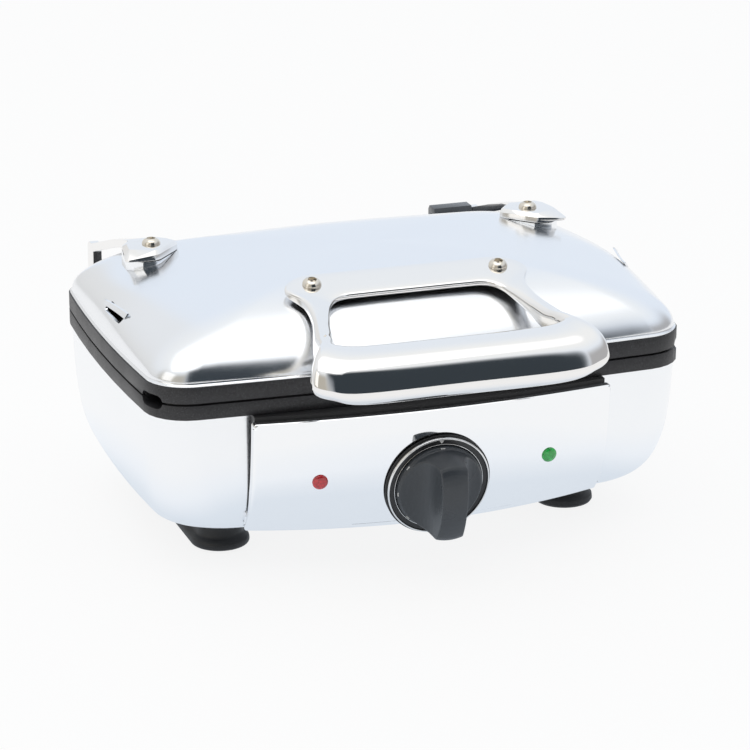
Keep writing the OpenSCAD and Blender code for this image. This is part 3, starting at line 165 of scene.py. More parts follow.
def smooth(piece, degrees):
    """Shades smooth wherever two faces turn less than the angle."""
    only(piece)
    bpy.ops.object.shade_smooth_by_angle(angle=math.radians(degrees))


def dress(piece, name, body, material, replaces=()):
    """Names a piece, gives it its finish, says what it rides on and hides the solids it replaces.
    """
    piece.name = name
    piece.data.name = name
    piece.data.materials.clear()
    piece.data.materials.append(material)
    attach(piece, body)
    if replaces:
        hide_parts(*replaces)
    print(f"{name}: {len(piece.data.vertices)} points, {len(piece.data.polygons)} faces")


# %% Forms: a wrapped grid, a spun profile and a softened copy
def wrapped_grid(rows, columns, place):
    """A grid whose corner in row j and column i moves to place(i, j)."""
    clear_selection()
    bpy.ops.mesh.primitive_grid_add(x_subdivisions=columns, y_subdivisions=rows, size=1)
    piece = bpy.context.object
    for v in piece.data.vertices:
        i = round((v.co.x + 0.5) * columns)
        j = round((v.co.y + 0.5) * rows)
        v.co = place(i, j)
    tidy_mesh(piece)
    return piece


def spun(profile, steps):
    """Spins a closed profile of (radius, height) points round Z."""
    clear_selection()
    bpy.ops.mesh.primitive_circle_add(vertices=len(profile), radius=0.01, fill_type="NOTHING")
    piece = bpy.context.object
    for v, (radius, height) in zip(piece.data.vertices, profile):
        v.co = (radius, 0, height)
    edit(piece)
    bpy.ops.mesh.spin(steps=steps, angle=2 * math.pi, center=(0, 0, 0), axis=(0, 0, 1))
    leave_edit()
    tidy_mesh(piece)
    return piece


def softened_copy(node, width, segments):
    """A copy of a solid, with its flat faces joined up and its edges rounded a little."""
    clear_selection()
    piece = nodes[node].copy()
    piece.data = nodes[node].data.copy()
    bpy.context.scene.collection.objects.link(piece)
    piece.parent = None
    for key in list(piece.keys()):
        del piece[key]
    edit(piece)
    bpy.ops.mesh.customdata_custom_splitnormals_clear()
    bpy.ops.mesh.remove_doubles(threshold=2e-6)
    bpy.ops.mesh.dissolve_limited(angle_limit=math.radians(0.6))
    leave_edit()
    add_modifier(
        piece, "BEVEL", width=width, segments=segments, limit_method="ANGLE",
        angle_limit=math.radians(28), use_clamp_overlap=True, harden_normals=False)
    smooth(piece, 32)
    return piece


# %% [markdown]
# ## The outline of the rim
#
# The rim is a rectangle whose four sides bow out slightly and run smoothly into round corners.
# A bowed side is an arc of a very large circle, and the corner's circle touches both arcs, so no
# kink shows in the polished metal. The same outline, moved in or drawn together, shapes the lid
# and the body.

# %% Outline points
def arc_radius(half, rise):
    """Radius of an arc that rises so much in the middle of a chord."""
    return (half * half + rise * rise) / (2 * rise)


def arc_points(centre, r, start, end, n):
    """Points along an arc, without its last one."""
    return [
        (centre[0] + r * math.cos(start + (end - start) * i / n),
         centre[1] + r * math.sin(start + (end - start) * i / n))
        for i in range(n)]


front_steps, corner_steps, side_steps = 14, 16, 10


def bowed(a, b, side, front, r):
    """Points of the bowed rectangle, anticlockwise from the middle of the front."""
    ra = arc_radius(b, side)
    rb = arc_radius(a, front)
    gap = Vector((a - ra, b - rb))
    d = gap.length
    along = ((rb - r) ** 2 - (ra - r) ** 2 + d * d) / (2 * d)
    across = math.sqrt((rb - r) ** 2 - along ** 2)
    c = Vector((0, rb - b)) + gap / d * along + Vector((-gap.y, gap.x)) / d * across
    t1 = math.atan2(c.y + b - rb, c.x)
    t2 = math.atan2(c.y, c.x - a + ra)
    quarter = (
        arc_points((0, rb - b), rb, -math.pi / 2, t1, front_steps)
        + arc_points(c, r, t1, t2, corner_steps)
        + arc_points((a - ra, 0), ra, t2, 0, side_steps)
        + [(a, 0)])
    mirrored = [(x, -y) for x, y in reversed(quarter[:-1])]
    half = quarter + mirrored
    return half + [(-x, y) for x, y in reversed(half[1:-1])]


def rim_outline(inset):
    """The rim's outline, moved in."""
    return bowed(rim_a - inset, rim_b - inset, side_bow, front_bow, corner_r - inset)


print("outline points:", len(rim_outline(0)))

# %% [markdown]
# ## Finishes
#
# Each finish is a small network of nodes. Polished steel is a metal whose roughness drifts a
# little from place to place, as wiped metal does, with hair-fine marks that only show where a
# light catches them. The cast plates have a dark coat with a fine sparkle. Every pattern is read
# in Object coordinates, so it sticks to the piece when the lid swings.

# %% A start for every material
def new_material(name, color, metallic=0.0, roughness=0.5):
    """A material with its node tree and its shader."""
    material = bpy.data.materials.new(name)
    material.use_nodes = True
    tree = material.node_tree
    shader = tree.nodes["Principled BSDF"]
    shader.inputs["Base Color"].default_value = (*color, 1)
    shader.inputs["Metallic"].default_value = metallic
    shader.inputs["Roughness"].default_value = roughness
    return material, tree, shader


def place_of(tree, stretch=(1, 1, 1)):
    """Object coordinates, stretched along the axes."""
    coordinates = tree.nodes.new("ShaderNodeTexCoord")
    mapping = tree.nodes.new("ShaderNodeMapping")
    mapping.inputs["Scale"].default_value = stretch
    tree.links.new(coordinates.outputs["Object"], mapping.inputs["Vector"])
    return mapping.outputs["Vector"]


def noise(tree, vector, scale, detail=3.0, rough=0.5):
    """A cloudy pattern. A larger scale makes it finer."""
    node = tree.nodes.new("ShaderNodeTexNoise")
    node.inputs["Scale"].default_value = scale
    node.inputs["Detail"].default_value = detail
    node.inputs["Roughness"].default_value = rough
    tree.links.new(vector, node.inputs["Vector"])
    return node.outputs["Fac"]


def spread(tree, value, low, high, start=0.3, end=0.7):
    """Maps a pattern's middle range to the range low to high."""
    node = tree.nodes.new("ShaderNodeMapRange")
    node.inputs["From Min"].default_value = start
    node.inputs["From Max"].default_value = end
    node.inputs["To Min"].default_value = low
    node.inputs["To Max"].default_value = high
    tree.links.new(value, node.inputs["Value"])
    return node.outputs["Result"]


def blend_colors(tree, value, stops):
    """Colours that run through a list of (position, colour) stops."""
    ramp = tree.nodes.new("ShaderNodeValToRGB")
    ramp.color_ramp.elements[0].position = stops[0][0]
    ramp.color_ramp.elements[0].color = (*stops[0][1], 1)
    ramp.color_ramp.elements[1].position = stops[-1][0]
    ramp.color_ramp.elements[1].color = (*stops[-1][1], 1)
    for position, color in stops[1:-1]:
        ramp.color_ramp.elements.new(position).color = (*color, 1)
    tree.links.new(value, ramp.inputs["Fac"])
    return ramp.outputs["Color"]


def raise_bumps(tree, shader, height, distance):
    """Bumps in metres: the pattern's height times a distance."""
    node = tree.nodes.new("ShaderNodeBump")
    node.inputs["Distance"].default_value = distance
    tree.links.new(height, node.inputs["Height"])
    tree.links.new(node.outputs["Normal"], shader.inputs["Normal"])


# %% Steel
def steel(name, color, low, high, wave=0.0, marks=0.0, grain=(1, 1, 1)):
    """Steel whose roughness drifts from low to high, with a slow wave and fine marks."""
    material, tree, shader = new_material(name, color, metallic=1.0)
    here = place_of(tree)
    drift = noise(tree, here, 22, detail=5, rough=0.6)
    tree.links.new(spread(tree, drift, low, high), shader.inputs["Roughness"])
    lines = noise(tree, place_of(tree, grain), 900, detail=2)
    slow = noise(tree, here, 9, detail=1)
    total = tree.nodes.new("ShaderNodeMath")
    total.operation = "MULTIPLY_ADD"
    total.inputs[1].default_value = marks
    tree.links.new(lines, total.inputs[0])
    scaled = tree.nodes.new("ShaderNodeMath")
    scaled.operation = "MULTIPLY"
    scaled.inputs[1].default_value = wave
    tree.links.new(slow, scaled.inputs[0])
    tree.links.new(scaled.outputs[0], total.inputs[2])
    raise_bumps(tree, shader, total.outputs[0], 1.0)
    return material


polished = steel(
    "polished steel", (0.86, 0.875, 0.90), 0.17, 0.23,
    wave=0.00015, marks=0.0000015, grain=(1, 8, 1))
mirror = steel(
    "mirror steel", (0.93, 0.94, 0.955), 0.04, 0.07,
    wave=0.0001, marks=0.0000005, grain=(1, 8, 1))
soft_steel = steel(
    "soft steel", (0.92, 0.935, 0.955), 0.16, 0.22,
    wave=0.0002, marks=0.000004, grain=(1, 1, 14))
cast = steel("polished casting", (0.88, 0.87, 0.86), 0.045, 0.08, wave=0.0001, marks=0.000001)
bright_trim = steel("bright trim", (0.78, 0.78, 0.78), 0.10, 0.16)
nickel = steel("nickel screws", (0.74, 0.69, 0.61), 0.12, 0.2)
zinc = steel("zinc plate", (0.62, 0.63, 0.65), 0.28, 0.4, marks=0.000003)
plain_sheet = steel(
    "plain sheet", (0.60, 0.61, 0.62), 0.3, 0.42, marks=0.000004, grain=(1, 10, 1))
sheath = steel("heated sheath", (0.20, 0.17, 0.15), 0.4, 0.55, marks=0.000004)


# %% Coats, plastics and ceramics
def coat(name, dark, light, rough, bumps, scale, fleck=0.0, metallic=0.0):
    """A dull coat with a fine, slightly lighter grain and small bumps."""
    material, tree, shader = new_material(name, dark, metallic=metallic)
    here = place_of(tree)
    grain = noise(tree, here, scale, detail=4, rough=0.7)
    tint = blend_colors(tree, grain, [(0.35, dark), (0.7, light)])
    wear = spread(tree, noise(tree, here, 35), rough - 0.06, rough + 0.06)
    tree.links.new(tint, shader.inputs["Base Color"])
    tree.links.new(wear, shader.inputs["Roughness"])
    raise_bumps(tree, shader, grain, bumps)
    if fleck:
        cells = tree.nodes.new("ShaderNodeTexVoronoi")
        cells.inputs["Scale"].default_value = 1100
        tree.links.new(here, cells.inputs["Vector"])
        shine = spread(tree, cells.outputs["Distance"], fleck, 0.0, 0.05, 0.22)
        mix = tree.nodes.new("ShaderNodeMix")
        mix.data_type = "RGBA"
        mix.inputs[7].default_value = (0.32, 0.33, 0.36, 1)
        tree.links.new(shine, mix.inputs[0])
        tree.links.new(tint, mix.inputs[6])
        tree.links.new(mix.outputs[2], shader.inputs["Base Color"])
    return material


nonstick = coat(
    "non-stick coat", (0.018, 0.018, 0.02), (0.05, 0.05, 0.054), 0.42, 0.00006, 1500,
    fleck=0.35, metallic=0.25)
black_plastic = coat(
    "black plastic", (0.012, 0.012, 0.013), (0.02, 0.02, 0.021), 0.45, 0.00002, 2200)
rubber = coat("rubber", (0.010, 0.010, 0.011), (0.022, 0.022, 0.023), 0.5, 0.00002, 1800)
slate = coat(
    "slate plastic", (0.046, 0.053, 0.062), (0.058, 0.066, 0.077), 0.3, 0.000012, 2600)
dial_paint = coat(
    "dial paint", (0.018, 0.019, 0.021), (0.03, 0.03, 0.033), 0.34, 0.00001, 2400)
ceramic = coat("ceramic", (0.74, 0.69, 0.58), (0.82, 0.78, 0.68), 0.6, 0.00003, 900)
print_white = coat("white marks", (0.75, 0.75, 0.74), (0.85, 0.85, 0.84), 0.5, 0.00001, 1500)


# %% Lamp lenses
def lens(name, color, glow):
    """Clear moulded plastic with small facets inside and a faint glow."""
    material, tree, shader = new_material(name, color, roughness=0.12)
    here = place_of(tree)
    facets = tree.nodes.new("ShaderNodeTexVoronoi")
    facets.inputs["Scale"].default_value = 520
    tree.links.new(here, facets.inputs["Vector"])
    deep = tuple(c * 0.45 for c in color)
    tint = blend_colors(tree, facets.outputs["Distance"], [(0.1, color), (0.75, deep)])
    tree.links.new(tint, shader.inputs["Base Color"])
    raise_bumps(tree, shader, facets.outputs["Distance"], 0.0004)
    shader.inputs["Coat Weight"].default_value = 0.8
    shader.inputs["Coat Roughness"].default_value = 0.05
    shader.inputs["Emission Color"].default_value = (*glow, 1)
    shader.inputs["Emission Strength"].default_value = 0.12
    return material


red_lens = lens("red lens", (0.62, 0.02, 0.03), (0.9, 0.02, 0.02))
green_lens = lens("green lens", (0.02, 0.48, 0.08), (0.02, 0.8, 0.1))
print("materials:", len(bpy.data.materials))

# %% [markdown]
# ## The frame's own solids
#
# Most parts keep their solid: brackets, pins, heat shields, elements, screws. Each record slot
# gets its finish, and the solids in it take it.

# %% Give every solid its finish
finish_of = {
    "polished_steel": polished,
    "body_steel": soft_steel,
    "cast_steel": cast,
    "nonstick": nonstick,
    "black_plastic": black_plastic,
    "rubber_foot": rubber,
    "slate_plastic": slate,
    "screw_steel": nickel,
    "zinc_steel": zinc,
    "galvanised": plain_sheet,
    "heater_sheath": sheath,
    "ceramic": ceramic,
    "red_lens": red_lens,
    "green_lens": green_lens,
    "dial_face": dial_paint,
    "chrome_trim": bright_trim,
}
slot_of = {entry["node"]: entry["material_slot"] for entry in frame["record"]["subparts"]}
for name, node in nodes.items():
    for entry in node.material_slots:
        entry.material = finish_of[slot_of[name]]
print("solids dressed:", len(nodes))

# %% [markdown]
# ## The lid
#
# The lid is one sheet pressed over a form: flat-shouldered along its sides, falling away sooner
# towards the front and back. On a computer a press can be copied with rings: the rim's outline is
# drawn together step by step, and each step stands at its own height. The steps lie close
# together at the edge, where the sheet turns over, so the reflection there stays smooth.

# %% The dome's height
lid_base_z = upper_band_z
lid_step = 1.75 * MM
lid_edge_h = 2.1 * MM
dome_h = 37.2 * MM
side_power, front_power = 1.4, 3.14
side_fall, front_fall = 0.314, 0.833


def dome_z(x, y, s):
    """Height on the ring drawn to the share s, towards the outline point (x, y)."""
    u = (x / rim_a) ** 2
    v = (y / rim_b) ** 2
    side = u / (u + v)
    power = side_power * side + front_power * (1 - side)
    fall = side_fall * side + front_fall * (1 - side)
    return lid_base_z + lid_edge_h + dome_h * (1 - s ** power) ** fall


# %% Press the lid
lid_rings = 56
ring_crowding = 2.4
# How far in from the rim, and how high, the turned edge runs, in millimetres
edge_profile = [(6, 0.05), (0.95, 0.05), (0.72, 0.35), (0.72, 0.75), (1.0, 1.1), (1.45, 1.45)]
outlines = [rim_outline(inset * MM) for inset, _ in edge_profile]
dome_outline = rim_outline(lid_step)
columns = len(dome_outline)


def lid_place(i, j):
    """Where point i of ring j stands: first the turned edge, then the dome."""
    i = i % columns
    if j < len(edge_profile):
        x, y = outlines[j][i]
        return (x, y + mid_y, lid_base_z + edge_profile[j][1] * MM)
    t = (j - len(edge_profile)) / (lid_rings - len(edge_profile))
    s = max(1 - t ** ring_crowding, 0)
    x, y = dome_outline[i]
    return (x * s, y * s + mid_y, dome_z(x, y, s))


lid = wrapped_grid(lid_rings, columns, lid_place)
print("lid rings:", lid_rings, "points round:", columns)

# %% [markdown]
# ## Two windows with bent fingers
#
# A finger is lanced from the lid at each side and bent outwards, and leaves a small window in
# the sheet. The window is cut with a Boolean, after the sheet has its thickness. The finger is
# a strip that grows from the window's front end and lifts away towards the back.

# %% Give the sheet its thickness and cut the windows
add_modifier(lid, "SOLIDIFY", thickness=sheet, offset=-1)
vent_y = -23 * MM + mid_y
vent_length = 28 * MM
vent_z = 124.2 * MM
vent_h = 4.4 * MM
cutter_depth = 18 * MM
window_round = 1.2 * MM


def lid_side_x(z):
    """Where the lid's side stands at a height."""
    rise = min(max((z - lid_base_z - lid_edge_h) / dome_h, 0), 1)
    return (rim_a - lid_step) * (1 - rise ** (1 / side_fall)) ** (1 / side_power)


for side in (-1, 1):
    clear_selection()
    bpy.ops.mesh.primitive_cube_add(
        size=1, scale=(cutter_depth, vent_length, vent_h),
        location=(
            side * (rim_a - cutter_depth / 2), vent_y + vent_length / 2, vent_z + vent_h / 2))
    cutter = bpy.context.object
    settle(cutter)
    edit(cutter)
    bpy.ops.mesh.bevel(offset=window_round, segments=3, affect="EDGES")
    leave_edit()
    add_modifier(lid, "BOOLEAN", operation="DIFFERENCE", object=cutter, solver="EXACT")
    bpy.data.objects.remove(cutter)
print(f"window at {vent_z:.4f}, the side there at {lid_side_x(vent_z):.4f}")

# %% Bend a finger out of each window
fingers = []
finger_h = 2.8 * MM
finger_length = 29 * MM
finger_grip = 1.0 * MM
finger_z = vent_z + 4.3 * MM
finger_root = lid_side_x(finger_z) - sheet / 2
finger_lean = 0.65
finger_lift, finger_rise, finger_curl = 5.2 * MM, 0.12, 1.3
finger_taper = 0.35
finger_round = 0.3 * MM
for side in (-1, 1):
    clear_selection()
    bpy.ops.mesh.primitive_cube_add(size=1, scale=(sheet, finger_length, finger_h))
    finger = bpy.context.object
    settle(finger)
    edit(finger)
    bpy.ops.mesh.subdivide(number_cuts=7)
    leave_edit()
    for v in finger.data.vertices:
        along = max(v.co.y / finger_length + 0.5, 0)
        lift = finger_lift * along ** finger_curl
        v.co = (
            side * (finger_root + v.co.x - finger_lean * v.co.z + lift),
            vent_y - finger_grip + v.co.y + finger_length / 2,
            finger_z + v.co.z * (1 - finger_taper * along) + finger_rise * lift)
    tidy_mesh(finger)
    add_modifier(finger, "BEVEL", width=finger_round, segments=2, limit_method="ANGLE")
    smooth(finger, 40)
    fingers.append(finger)
smooth(lid, 30)
dress(lid, "lid_shell", "lid", polished, ["lid_cover"])
for finger, word in zip(fingers, ("left", "right")):
    dress(finger, f"{word}_lid_finger", "lid", polished)

# %% [markdown]
# ## The body shell
#
# The body is a drawn pan. Its wall drops nearly straight from the plate's rim and then tucks in
# to the floor along a rounded curve. It is made as the lid is, with rings.

# %% Draw the pan
body_top_z = lower_band_z
body_low_z = 21.8 * MM
body_step = 1.5 * MM
side_tuck = 25.9 * MM
front_tuck = 27 * MM
tuck_power = 3.1
tuck_corner_r = 38 * MM
tuck_end = 0.995
body_rows = 64
row_crowding = 1.6


def tuck_at(z):
    """How far the wall has tucked in at a height, from 0 at the top to 1 at the floor."""
    t = min(max((body_top_z - z) / (body_top_z - body_low_z), 0), 1)
    return 1 - (1 - t ** tuck_power) ** (1 / tuck_power)


def body_ring(t, inset=0.0):
    """The wall's height and outline at the share t of the way down."""
    z = body_top_z - (body_top_z - body_low_z) * t
    share = tuck_at(z)
    r = corner_r - body_step - inset + (tuck_corner_r - corner_r) * t
    half_w = rim_a - body_step - inset - side_tuck * share
    half_d = rim_b - body_step - inset - front_tuck * share
    return z, bowed(half_w, half_d, side_bow, front_bow, r)


flange_w, floor_lip = 7.5 * MM, 12 * MM
row_steps = [1 - (1 - j / body_rows) ** row_crowding for j in range(body_rows + 1)]
pan_rings = [body_ring(0.0, flange_w)]
pan_rings += [body_ring(min(t, tuck_end)) for t in row_steps]
pan_rings += [body_ring(tuck_end, floor_lip)]


def pan_place(i, j):
    z, ring = pan_rings[j]
    x, y = ring[i % columns]
    return (x, y + mid_y, z)


pan = wrapped_grid(len(pan_rings) - 1, columns, pan_place)
add_modifier(pan, "SOLIDIFY", thickness=sheet, offset=-1)
smooth(pan, 40)
dress(pan, "body_shell", "base", soft_steel, ["base_housing"])

# %% [markdown]
# ## The control panel
#
# A shallow tray of polished sheet screwed to the front of the body. Its face bows across its
# width and leans back towards the bottom, more so at the two lower corners. The face is a grid
# pushed onto that form, its border is turned back as the press turns it, and a bevel rounds the
# turn.

# %% The panel's face
panel_half_w = 101.4 * MM
panel_top_z = 90.5 * MM
panel_low_z = 23.5 * MM
panel_reach = 119.6 * MM
panel_return = 4.6 * MM
panel_bow = 8.2 * MM
panel_lean, lean_power = 9.6 * MM, 1.475
corner_tuck, corner_tuck_z = 10 * MM, 60 * MM
panel_to_body = 1.8 * MM


def panel_front(x, z):
    """Where the panel's face stands: bowed across, leaning back, with its low corners tucked."""
    u = (x / panel_half_w) ** 2
    down = max(panel_top_z - z, 0) / (panel_top_z - panel_low_z)
    low = max(corner_tuck_z - z, 0) / (corner_tuck_z - panel_low_z)
    lean = panel_lean * down ** lean_power
    return panel_bow * u - panel_reach + lean + corner_tuck * u * low * low


def body_front(x, z):
    """Where the body's front wall stands behind the panel."""
    share = tuck_at(z)
    r = arc_radius(rim_a - body_step - side_tuck * share, front_bow)
    return r - (rim_b - body_step - front_tuck * share) - math.sqrt(r * r - x * x)


def panel_rear(x, z):
    """Where the panel's turned-back border ends, just clear of the body."""
    return min(panel_front(x, z) + panel_return, body_front(x, z) - panel_to_body)


panel_columns, panel_rows = 80, 44


def panel_place(i, j):
    x = panel_half_w * (2 * i / panel_columns - 1)
    z = panel_low_z + (panel_top_z - panel_low_z) * j / panel_rows
    return (x, panel_front(x, z) + mid_y, z)


panel = wrapped_grid(panel_rows, panel_columns, panel_place)

# %% Turn the border back, round it and give the sheet its thickness
panel_round = 1.6 * MM
sharp_turn = 0.6
edit(panel)
pick_edges(lambda edge: len(edge.link_faces) == 1)
bpy.ops.mesh.extrude_edges_move(TRANSFORM_OT_translate={"value": (0, panel_return, 0)})
mesh = bmesh.from_edit_mesh(panel.data)
for v in mesh.verts:
    if v.select:
        v.co.y = panel_rear(v.co.x, v.co.z) + mid_y
bmesh.update_edit_mesh(panel.data)
pick_edges(lambda edge: len(edge.link_faces) == 2 and edge.calc_face_angle(0) > sharp_turn)
bpy.ops.mesh.bevel(offset=panel_round, segments=6, affect="EDGES")
leave_edit()
tidy_mesh(panel)
if sum(f.normal.y * f.area for f in panel.data.polygons) > 0:
    edit(panel)
    bpy.ops.mesh.flip_normals()
    leave_edit()
add_modifier(panel, "SOLIDIFY", thickness=sheet, offset=-1)
smooth(panel, 40)
dress(panel, "panel_face", "base", mirror, ["control_panel"])

# %% [markdown]
# ## The handle
#
# The handle is one casting: a flat strap lies on the lid under two screws, widens into two ears,
# and two arms sweep forward into a thick, round grip. Its section changes all the way round, so
# it is made from stations. Each station gives the outer and the inner edge, the thickness, how
# square the section is, how it slopes, how far its outer top corner slants away and how much it
# is lifted off the strap's plane. A smooth curve runs through them all.

# %% Stations round the handle, from the middle of the strap to the middle of the bar
ear_x, ear_y = 53.3, -62.8
bar_back, bar_front = -131.5, -162.48
bar_x, bar_t = 83.0, 27.0
strap_lean = math.radians(15)
slope = math.tan(strap_lean)
strap_t = 3.8
plate_t = strap_t / math.cos(strap_lean)
strap_top_z = 148.448
Station = namedtuple(
    "Station", "outer_x outer_y inner_x inner_y thickness power slope slant lift")
stations = [
    (0, ear_y + 11, 0, ear_y - 11.5, plate_t, 5, slope, 0, 0),
    (30, ear_y + 11, 27, ear_y - 11.5, plate_t, 5, slope, 0, 0),
    (ear_x + 4, ear_y + 10, ear_x - 12.5, ear_y - 12.3, plate_t, 5, slope, 0, 0),
    (ear_x + 15.7, ear_y - 1, ear_x - 5.5, ear_y - 17.5, plate_t + 0.4, 4, slope, 0, 0),
    (ear_x + 9.8, ear_y - 15, ear_x - 1.2, ear_y - 27, strap_t + 2.6, 3.4, slope, 0, 0),
    (ear_x + 10.4, ear_y - 32, ear_x + 2.8, ear_y - 41, strap_t + 5.4, 2.8, slope, 0.1, 0),
    (bar_x - 12.3, bar_back + 14, ear_x + 5.2, bar_back + 16, bar_t * 0.54, 2.5, slope, 0.3, 0.4),
    (bar_x - 7.5, bar_back - 2, ear_x + 7.5, bar_back + 7.5, bar_t * 0.74, 2.5, slope * 0.7,
     0.6, 1.6),
    (bar_x - 0.2, bar_back - 20, ear_x + 8, bar_back + 2, bar_t * 0.88, 2.6, slope / 3, 0.85, 2.2),
    (bar_x - 8, bar_front + 3, ear_x - 1.5, bar_back - 0.6, bar_t * 0.91, 2.7, slope / 4, 1, 1.8),
    (bar_x - 26, bar_front + 0.3, ear_x - 16, bar_back, bar_t, 2.8, slope / 4, 1, 0.1),
    (0, bar_front + 0.1, 0, bar_back, bar_t, 2.8, slope / 4, 1, 0)]
loop = stations + [(-s[0], s[1], -s[2], *s[3:]) for s in stations[-2:0:-1]]
print("stations round the handle:", len(loop))


def through(values, t):
    """Smooth curve through the two middle ones of four values."""
    p, q, r, s = values
    bend = 2 * p - 5 * q + 4 * r - s
    twist = 3 * q - p - 3 * r + s
    return 0.5 * (2 * q + (r - p) * t + bend * t * t + twist * t ** 3)


def station_at(share):
    """The station at a share of the way round."""
    k = len(loop)
    i = int(share * k) % k
    t = share * k - int(share * k)
    near = [loop[(i + step) % k] for step in (-1, 0, 1, 2)]
    return Station(*(through(values, t) for values in zip(*near)))


def rounded(c, power):
    """Squares a circle's cosine or sine up: power 2 leaves it round."""
    return math.copysign(abs(c) ** (2 / power), c)


# %% Cast the handle
loop_steps, ring_steps = 14 * len(loop), 56
slant_start, slant_in, slant_drop = 0.35, 0.3, 2.5


def handle_place(i, j):
    """Where point i of the section at step j round the loop stands."""
    s = station_at((j % loop_steps) / loop_steps)
    a = 2 * math.pi * (i % ring_steps) / ring_steps
    across, up = rounded(math.cos(a), s.power), rounded(math.sin(a), s.power)
    slant = s.slant * (1 + across) / 2 * max((up + slant_start) / (1 + slant_start), 0)
    across -= slant_in * slant
    mx, my = (s.outer_x + s.inner_x) / 2, (s.outer_y + s.inner_y) / 2
    hx, hy = (s.outer_x - s.inner_x) / 2, (s.outer_y - s.inner_y) / 2
    z = strap_top_z - plate_t / 2 + slope * (my - ear_y) + s.lift
    z += s.slope * hy * across + up * s.thickness / 2 - slant_drop * slant
    return ((mx + hx * across) * MM, (my + hy * across) * MM + mid_y, z * MM)


handle = wrapped_grid(loop_steps, ring_steps, handle_place)
smooth(handle, 50)
dress(handle, "cast_handle", "lid", cast, ["handle"])

# %% [markdown]
# ## The dial
#
# Everything on the dial is turned round one axis, which leans a little downwards with the panel.
# The rings are spun profiles, because on the real part they are turned or spun too. A function
# lays each finished form onto the dial's axis.

# %% Place on the dial's axis
dial_z = 46.9 * MM
dial_lean = 10
dial_at = Vector((0, panel_front(0, dial_z) + mid_y, dial_z))
dial_turn = Matrix.Rotation(math.radians(90 + dial_lean), 4, "X")
turn_steps = 160
print(f"dial at {dial_at.y:.4f}, {dial_at.z:.4f}")


def on_dial(piece):
    """Lays a form made round Z onto the dial's axis."""
    piece.data.transform(Matrix.Translation(dial_at) @ dial_turn)
    tidy_mesh(piece, 1e-7)


def in_mm(profile):
    return [(r * MM, z * MM) for r, z in profile]


def turned(name, profile, material, replaces):
    """A ring or disc round the dial's axis, spun from its profile in millimetres."""
    piece = spun(in_mm(profile), turn_steps)
    on_dial(piece)
    smooth(piece, 40)
    dress(piece, name, "base", material, replaces)


# %% Bezel with its painted shadow ring, printed ring and bright inner ring
# The black outer lip of the bezel's foot is painted shade: a dark ring that stands for the shadow
# in the gap at the bezel's base.
turned("bezel_foot_painted_shadow", [
    (5.3, 0.15), (29.65, 0.15), (29.8, 0.3), (29.8, 0.8), (29.65, 0.95), (28.85, 0.95),
    (28.85, 0.6), (5.3, 0.6)],
    black_plastic, ["dial_bezel"])
turned("bezel_ring", [
    (27.85, 0.65), (28.9, 0.65), (28.9, 2.4), (28.84, 2.72), (28.68, 2.98), (28.42, 3.13),
    (28.2, 3.15), (28.0, 3.08), (27.88, 2.9), (27.85, 2.7)],
    bright_trim, ["dial_bezel"])
turned("printed_ring", [
    (25.32, 0.65), (27.72, 0.65), (27.72, 2.16), (27.62, 2.25), (25.42, 2.25), (25.32, 2.16)],
    dial_paint, ["dial_plate"])
turned("inner_ring", [
    (24.82, 0.65), (25.18, 0.65), (25.18, 2.45), (25.1, 2.54), (24.9, 2.54), (24.82, 2.45)],
    bright_trim, ["dial_bezel"])

# %% [markdown]
# ## The knob
#
# The knob is moulded in one piece: a round body with a crowned front, hollowed at both sides so
# that a grip stands between the hollows. It is made in that order. The body is spun, two cutters
# with a hollow section take the sides away, and a remesh with a little smoothing turns the sharp
# cuts into the soft edges of a moulding.

# %% Spin the body
crown_h, crown_r, crown_drop = 29.5, 21.4, 4.9
wall_h = crown_h - 5.6
body_profile = [
    (0, 1.35), (23.9, 1.35), (24.3, 1.75), (24.3, 4.3), (24.15, 4.7), (23.8, 4.95), (23.5, 5.1),
    (23.2, 5.7), (22.85, 14), (22.5, wall_h - 1.6), (22.1, wall_h - 0.5),
    (crown_r, wall_h + 0.35)]
body_profile += [
    (r, crown_h - crown_drop * (r / crown_r) ** 2) for r in (19.5, 17, 14, 11, 8, 5, 2.5, 0)]
knob = spun(in_mm(body_profile), turn_steps)
print("points in the knob's profile:", len(body_profile))

# %% Hollow the two sides
scoop_length = 80 * MM
scoop = [
    (6.6, 34), (7.0, 30), (7.2, 28), (7.45, 25), (7.75, 22), (8.15, 19), (8.75, 16.2),
    (9.6, 13.6), (10.8, 11.2), (12.3, 9.3), (14.2, 7.9), (16.6, 6.9), (19.6, 6.25),
    (23, 5.9), (32, 5.7), (32, 34)]
for side in (-1, 1):
    clear_selection()
    bpy.ops.mesh.primitive_circle_add(vertices=len(scoop), radius=0.01, fill_type="NGON")
    cutter = bpy.context.object
    for v, (x, z) in zip(cutter.data.vertices, scoop):
        v.co = (side * x * MM, -scoop_length / 2, z * MM)
    edit(cutter)
    bpy.ops.mesh.extrude_region_move(TRANSFORM_OT_translate={"value": (0, scoop_length, 0)})
    leave_edit()
    tidy_mesh(cutter)
    add_modifier(knob, "BOOLEAN", operation="DIFFERENCE", object=cutter, solver="EXACT")
    bpy.data.objects.remove(cutter)
print("faces after the two cuts:", len(knob.data.polygons))

# %% Soften the cuts
add_modifier(knob, "REMESH", mode="VOXEL", voxel_size=0.34 * MM)
add_modifier(knob, "SMOOTH", factor=0.5, iterations=12)
on_dial(knob)
smooth(knob, 60)
dress(knob, "turning_knob", "dial", slate, ["dial_knob"])


# %% [markdown]
# ## Marks
#
# A white triangle on the ring points at the setting, and short dashes on the knob's skirt stand
# for the browning steps. They are thin raised prints, like the paint on the real one.

